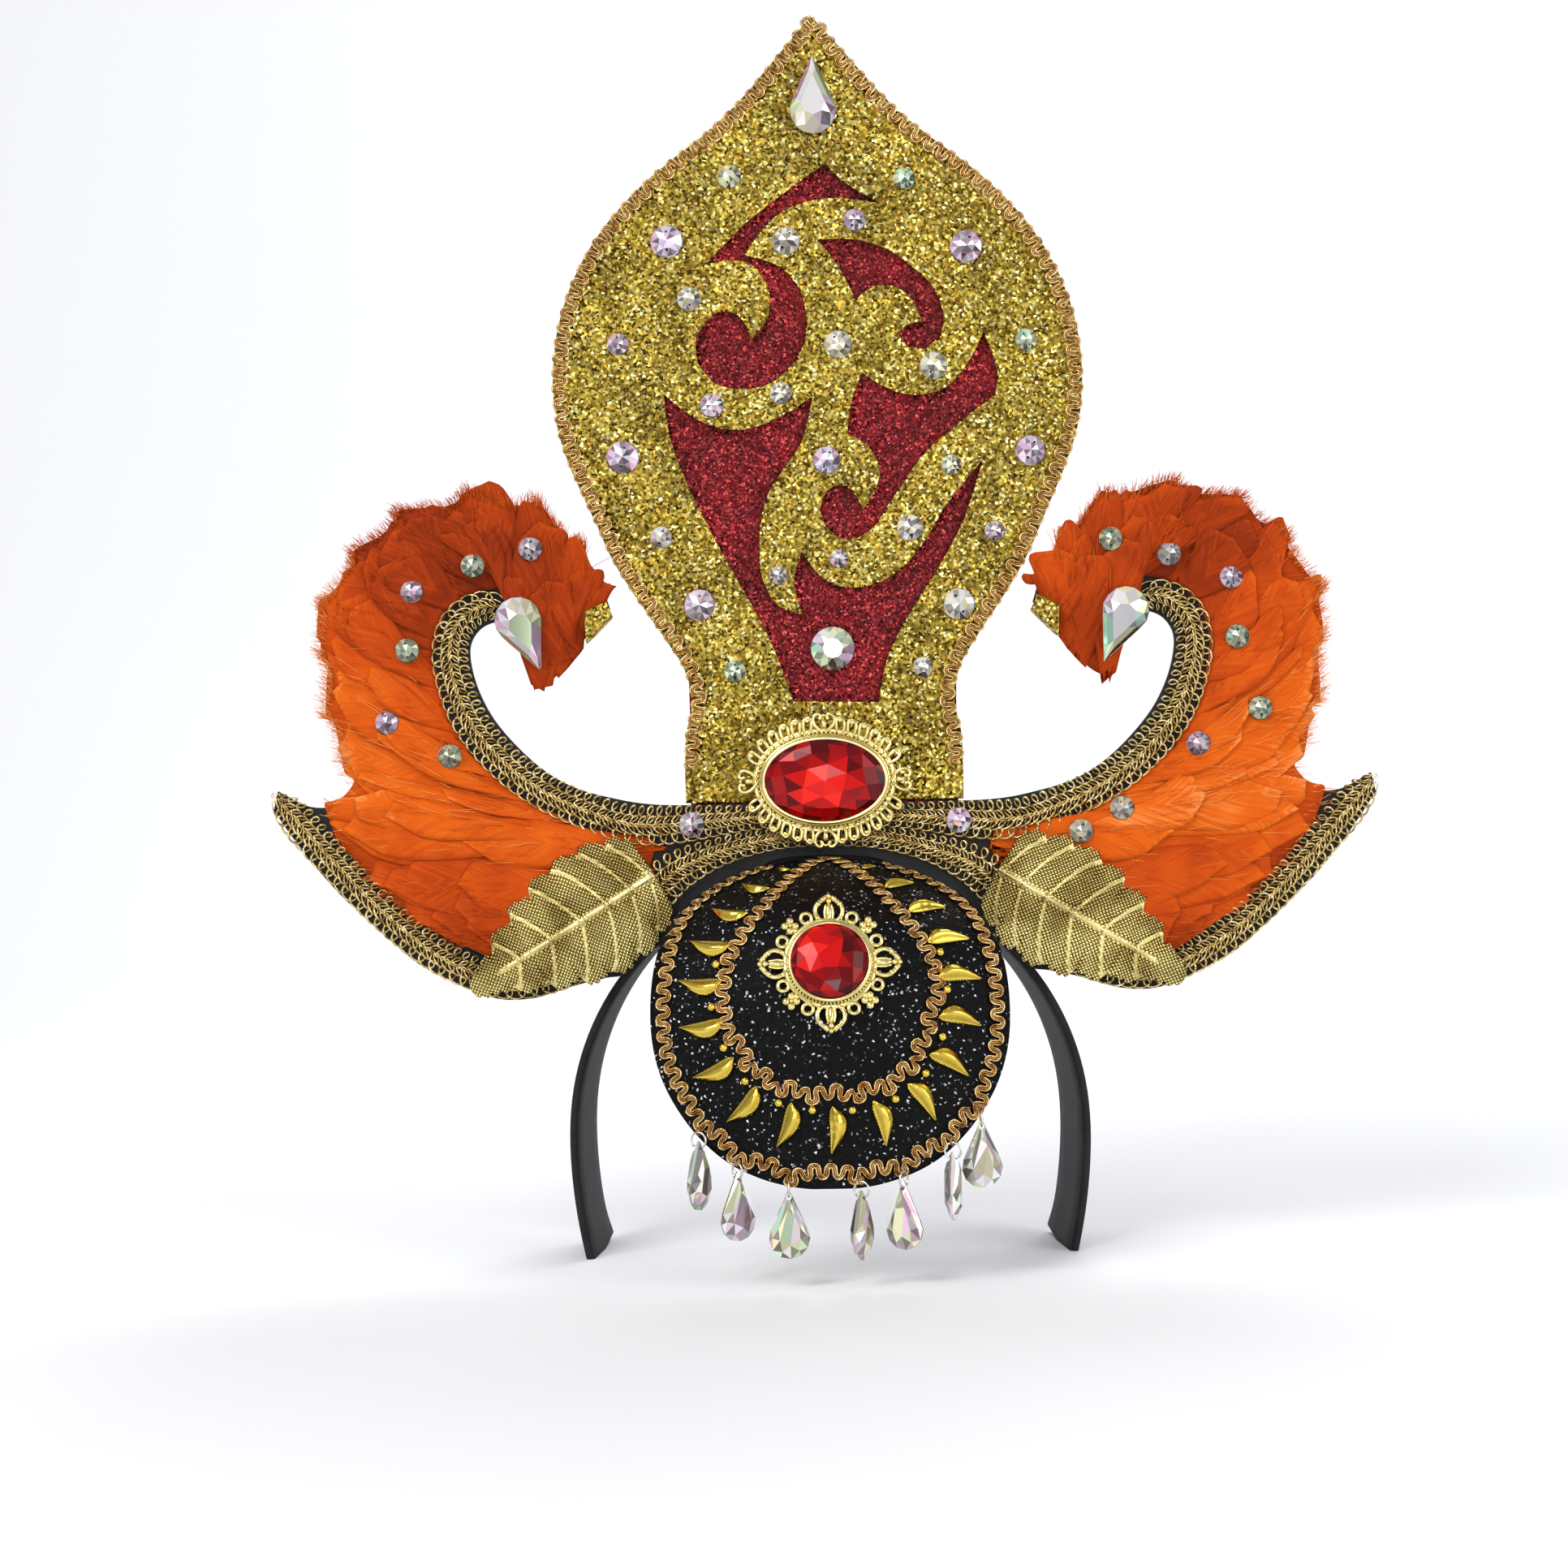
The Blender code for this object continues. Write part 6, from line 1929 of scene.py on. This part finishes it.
def make_oval_setting():
    casting = bmesh.new()
    cast_rim(casting, oval, 0.8, 0.95, 3.1)
    cast_rim(casting, oval, 1.5, 1.0, 0.9, flat=0.6)
    cast_rim(casting, oval, 3.5, 0.95, 0.7, flat=0.5)
    for angle in oval.even_angles(78):
        cast_ball(casting, oval.frame(angle), (2.6, 0.0, 1.3), 0.52, fine=1)
    poles = [k * math.pi / 2 for k in range(4)]
    for angle in oval.even_angles(OVAL_PETALS, start=0.5):
        if min(abs(math.remainder(angle - pole, math.tau)) for pole in poles) < POLE_CLEARANCE:
            continue
        lean = PETAL_LEAN * (1 if math.sin(2 * angle) > 0 else -1)
        frame = oval.frame(angle)
        cast_wire(casting, frame, leaning(PETAL, lean), 0.62, closed=True)
        cast_ball(casting, frame, leaning([(7.2, 0.1, 1.1)], lean)[0], 0.85, (1.0, 1.0, 0.8))
    for pole in poles:
        frame = oval.frame(pole)
        for side in (1, -1):
            cast_wire(casting, frame, [(x, y * side, z) for x, y, z in HEART], 0.66)
        cast_ball(casting, frame, (5.6, 0.0, 1.1), 1.2, (1.3, 0.85, 0.7))
        cast_ball(casting, frame, (8.6, 0.0, 1.2), 0.62)
    return finish_casting("oval_filigree", casting, "oval_setting")


make_oval_setting()

# %% Round setting
LOBE = [(1.6, 2.3, 0.9), (3.4, 3.9, 1.1), (5.6, 4.5, 1.2), (7.6, 3.7, 1.2), (9.0, 2.2, 1.1),
        (10.2, 0.9, 1.0)]
LOBE_RIB = [(2.2, 1.1, 0.9), (5.0, 1.4, 1.0), (7.6, 0.9, 1.0)]
LOBE_BALLS = [(9.2, 1.9, 1.1, 0.95), (7.6, 3.5, 1.2, 1.0), (2.9, 3.7, 1.1, 0.9)]
KNOT_REACH = 5.6
SCROLL_TURN = math.radians(19)


def make_round_setting():
    casting = bmesh.new()
    cast_rim(casting, disc, 0.6, 0.75, 3.0)
    cast_rim(casting, disc, 1.9, 1.25, 0.8, flat=0.6)
    for angle in disc.even_angles(72):
        cast_ball(casting, disc.frame(angle), (1.3, 0.0, 1.8), 0.46, fine=1)
    for k in range(4):
        lobe = disc.frame(k * math.pi / 2)
        for side in (1, -1):
            cast_wire(casting, lobe, [(x, y * side, z) for x, y, z in LOBE], 0.82)
            cast_wire(casting, lobe, [(x, y * side, z) for x, y, z in LOBE_RIB], 0.45)
            for x, y, z, radius in LOBE_BALLS:
                cast_ball(casting, lobe, (x, y * side, z), radius)
        cast_ball(casting, lobe, (4.9, 0.0, 1.2), 1.1, (2.8, 0.95, 0.8))
        cast_ball(casting, lobe, (8.6, 0.0, 1.2), 1.0)
        cast_ball(casting, lobe, (10.4, 0.0, 1.1), 0.85)
        knot = disc.frame((k + 0.5) * math.pi / 2)
        for x, y in ((1.2, 1.2), (1.2, -1.2), (-1.2, 1.2), (-1.2, -1.2)):
            cast_ball(casting, knot, (KNOT_REACH + x, y, 1.1), 1.3, (1.0, 1.0, 0.75))
        cast_ball(casting, knot, (KNOT_REACH, 0.0, 1.8), 0.7)
        cast_ball(casting, knot, (3.2, 0.0, 0.9), 1.1)
        for side in (1, -1):
            scroll = disc.frame((k + 0.5) * math.pi / 2 + side * SCROLL_TURN)
            circle = [(4.6 + 1.75 * math.cos(a), 1.75 * math.sin(a), 1.0)
                      for a in (math.tau * i / 10 for i in range(10))]
            cast_wire(casting, scroll, circle, 0.70, closed=True)
            cast_ball(casting, scroll, (2.9, 0.0, 1.0), 0.9)
    return finish_casting("round_filigree", casting, "round_setting")


make_round_setting()

# %% Red stones
GIRDLE = [(0.88, -0.0024, 32, 0.0), (1.0, -0.0008, 32, 0.0), (1.0, 0.0, 32, 0.0)]
OVAL_CUT = GIRDLE + [(0.90, 0.0013, 16, 0.5), (0.70, 0.0026, 12, 0.0), (0.40, 0.0036, 6, 0.5),
                     (0.03, 0.0041, 3, 0.0)]
DOME_CUT = GIRDLE + [(0.88, 0.0013, 12, 0.5), (0.64, 0.0024, 9, 0.0), (0.32, 0.0032, 5, 0.5)]


def red_gem(name, mount, levels, painted_light_centre, seed):
    """Facet a red stone; painted light makes its facets bright round one place and nearly black on the
    other side.
    """
    rng = random.Random(seed)
    facets = cut_gem(level_ring(name, mount.out), mount.out, levels)
    gem = add_mesh(name + "_cut", facets, red_stone, smooth=False)
    low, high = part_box(name)
    middle = (low + high) / 2
    shift_x, shift_y = painted_light_centre

    # painted light: facet tones are brightest round a centre shifted to one side, nearly black away
    # from it
    def painted_light_of(polygon):
        place = polygon.center - middle
        x = place.dot(mount.right) / mount.radii[0] - shift_x
        y = place.dot(mount.up) / mount.radii[1] - shift_y
        return 0.16 + 0.62 * math.exp(-(x * x * 3.0 + y * y * 1.5)) + rng.uniform(-0.20, 0.24)

    paint_facets(gem, painted_light_of, lambda polygon: rng.uniform(0.0, 0.4))
    return finish_piece(gem, "red_stone", name)


red_gem("oval_stone", oval, OVAL_CUT, (-0.05, -0.10), 21)
red_gem("round_stone", disc, DOME_CUT, (-0.30, 0.30), 22)

# %% [markdown]
# ## Drops on rings
# Seven faceted drops hang along the plate's lower edge. Each hangs by a hole from a ring of
# silver wire that passes through a stitched loop. The drops and rings are freshly cut over the
# solids, at the turn and tilt that each solid has.

# %% Drops and rings
DROP_LEVELS = [(1.0, 0.00035, 18, 0.0), (0.83, 0.0015, 9, 0.5), (0.58, 0.0026, 9, 0.0)]
DROP_HOLE_RADIUS = 0.00095
DROP_HOLE_INSET = 0.0030
RING_RADIUS = 0.00265
RING_WIRE = 0.00036
RING_STATIONS = 28


def thin_axis(name):
    """Points and centre of a flat solid, and the direction in which it is thinnest."""
    points = np.array([tuple(p) for p in solid_points(name)])
    centre = points.mean(axis=0)
    out = Vector(np.linalg.svd(points - centre)[2][2])
    return points, Vector(centre), out if out.y < 0 else -out


def cut_drop(name):
    points, centre, out = thin_axis(name)
    middle = [Vector(p) for p in points if abs((Vector(p) - centre).dot(out)) < 0.0009]
    up = Vector((0, 0, 1)) - out * out.z
    up.normalize()
    side = up.cross(out)
    hub = sum(middle, Vector()) / len(middle)
    rim = sorted(middle, key=lambda p: math.atan2((p - hub).dot(up), (p - hub).dot(side)))
    levels = [(scale, sign * height, count, shift) for scale, height, count, shift in DROP_LEVELS
              for sign in (1, -1)]
    drop = add_mesh(name + "_cut", cut_gem(rim, out, levels), rainbow_stone, smooth=False)
    top = max(middle, key=lambda p: p.dot(up))
    place = top - up * DROP_HOLE_INSET
    place = place - out * (place - hub).dot(out) - side * (place - hub).dot(side)
    bm = bmesh.new()
    turn = out.to_track_quat("Z", "Y").to_matrix().to_4x4()
    bmesh.ops.create_cone(bm, cap_ends=True, segments=12, radius1=DROP_HOLE_RADIUS,
                          radius2=DROP_HOLE_RADIUS, depth=0.02,
                          matrix=Matrix.Translation(place) @ turn)
    drop.data = drilled(drop, bm)
    rng = random.Random(name)
    hue = rng.random()
    paint_facets(drop, lambda polygon: 0.55 + rng.uniform(-0.35, 0.45),
                 lambda polygon: (hue * 0.4 + rng.uniform(0.0, 0.75)) % 1.0)
    return finish_piece(drop, "rainbow_stone", name)


def wire_ring(name):
    _, centre, out = thin_axis(name)
    circle = [(RING_RADIUS * math.cos(a), RING_RADIUS * math.sin(a), 0.0)
              for a in (math.tau * i / RING_STATIONS for i in range(RING_STATIONS))]
    bm = tube(bmesh.new(), circle, RING_WIRE, 8, closed=True)
    turn = out.to_track_quat("Z", "Y").to_matrix().to_4x4()
    bmesh.ops.transform(bm, verts=bm.verts, matrix=Matrix.Translation(centre) @ turn)
    bmesh.ops.recalc_face_normals(bm, faces=bm.faces)
    return finish_piece(add_mesh(name + "_wire", bm, silver), "silver_wire", name)


for number in range(1, DROP_COUNT + 1):
    cut_drop(f"drop_{number}")
    wire_ring(f"ring_{number}")
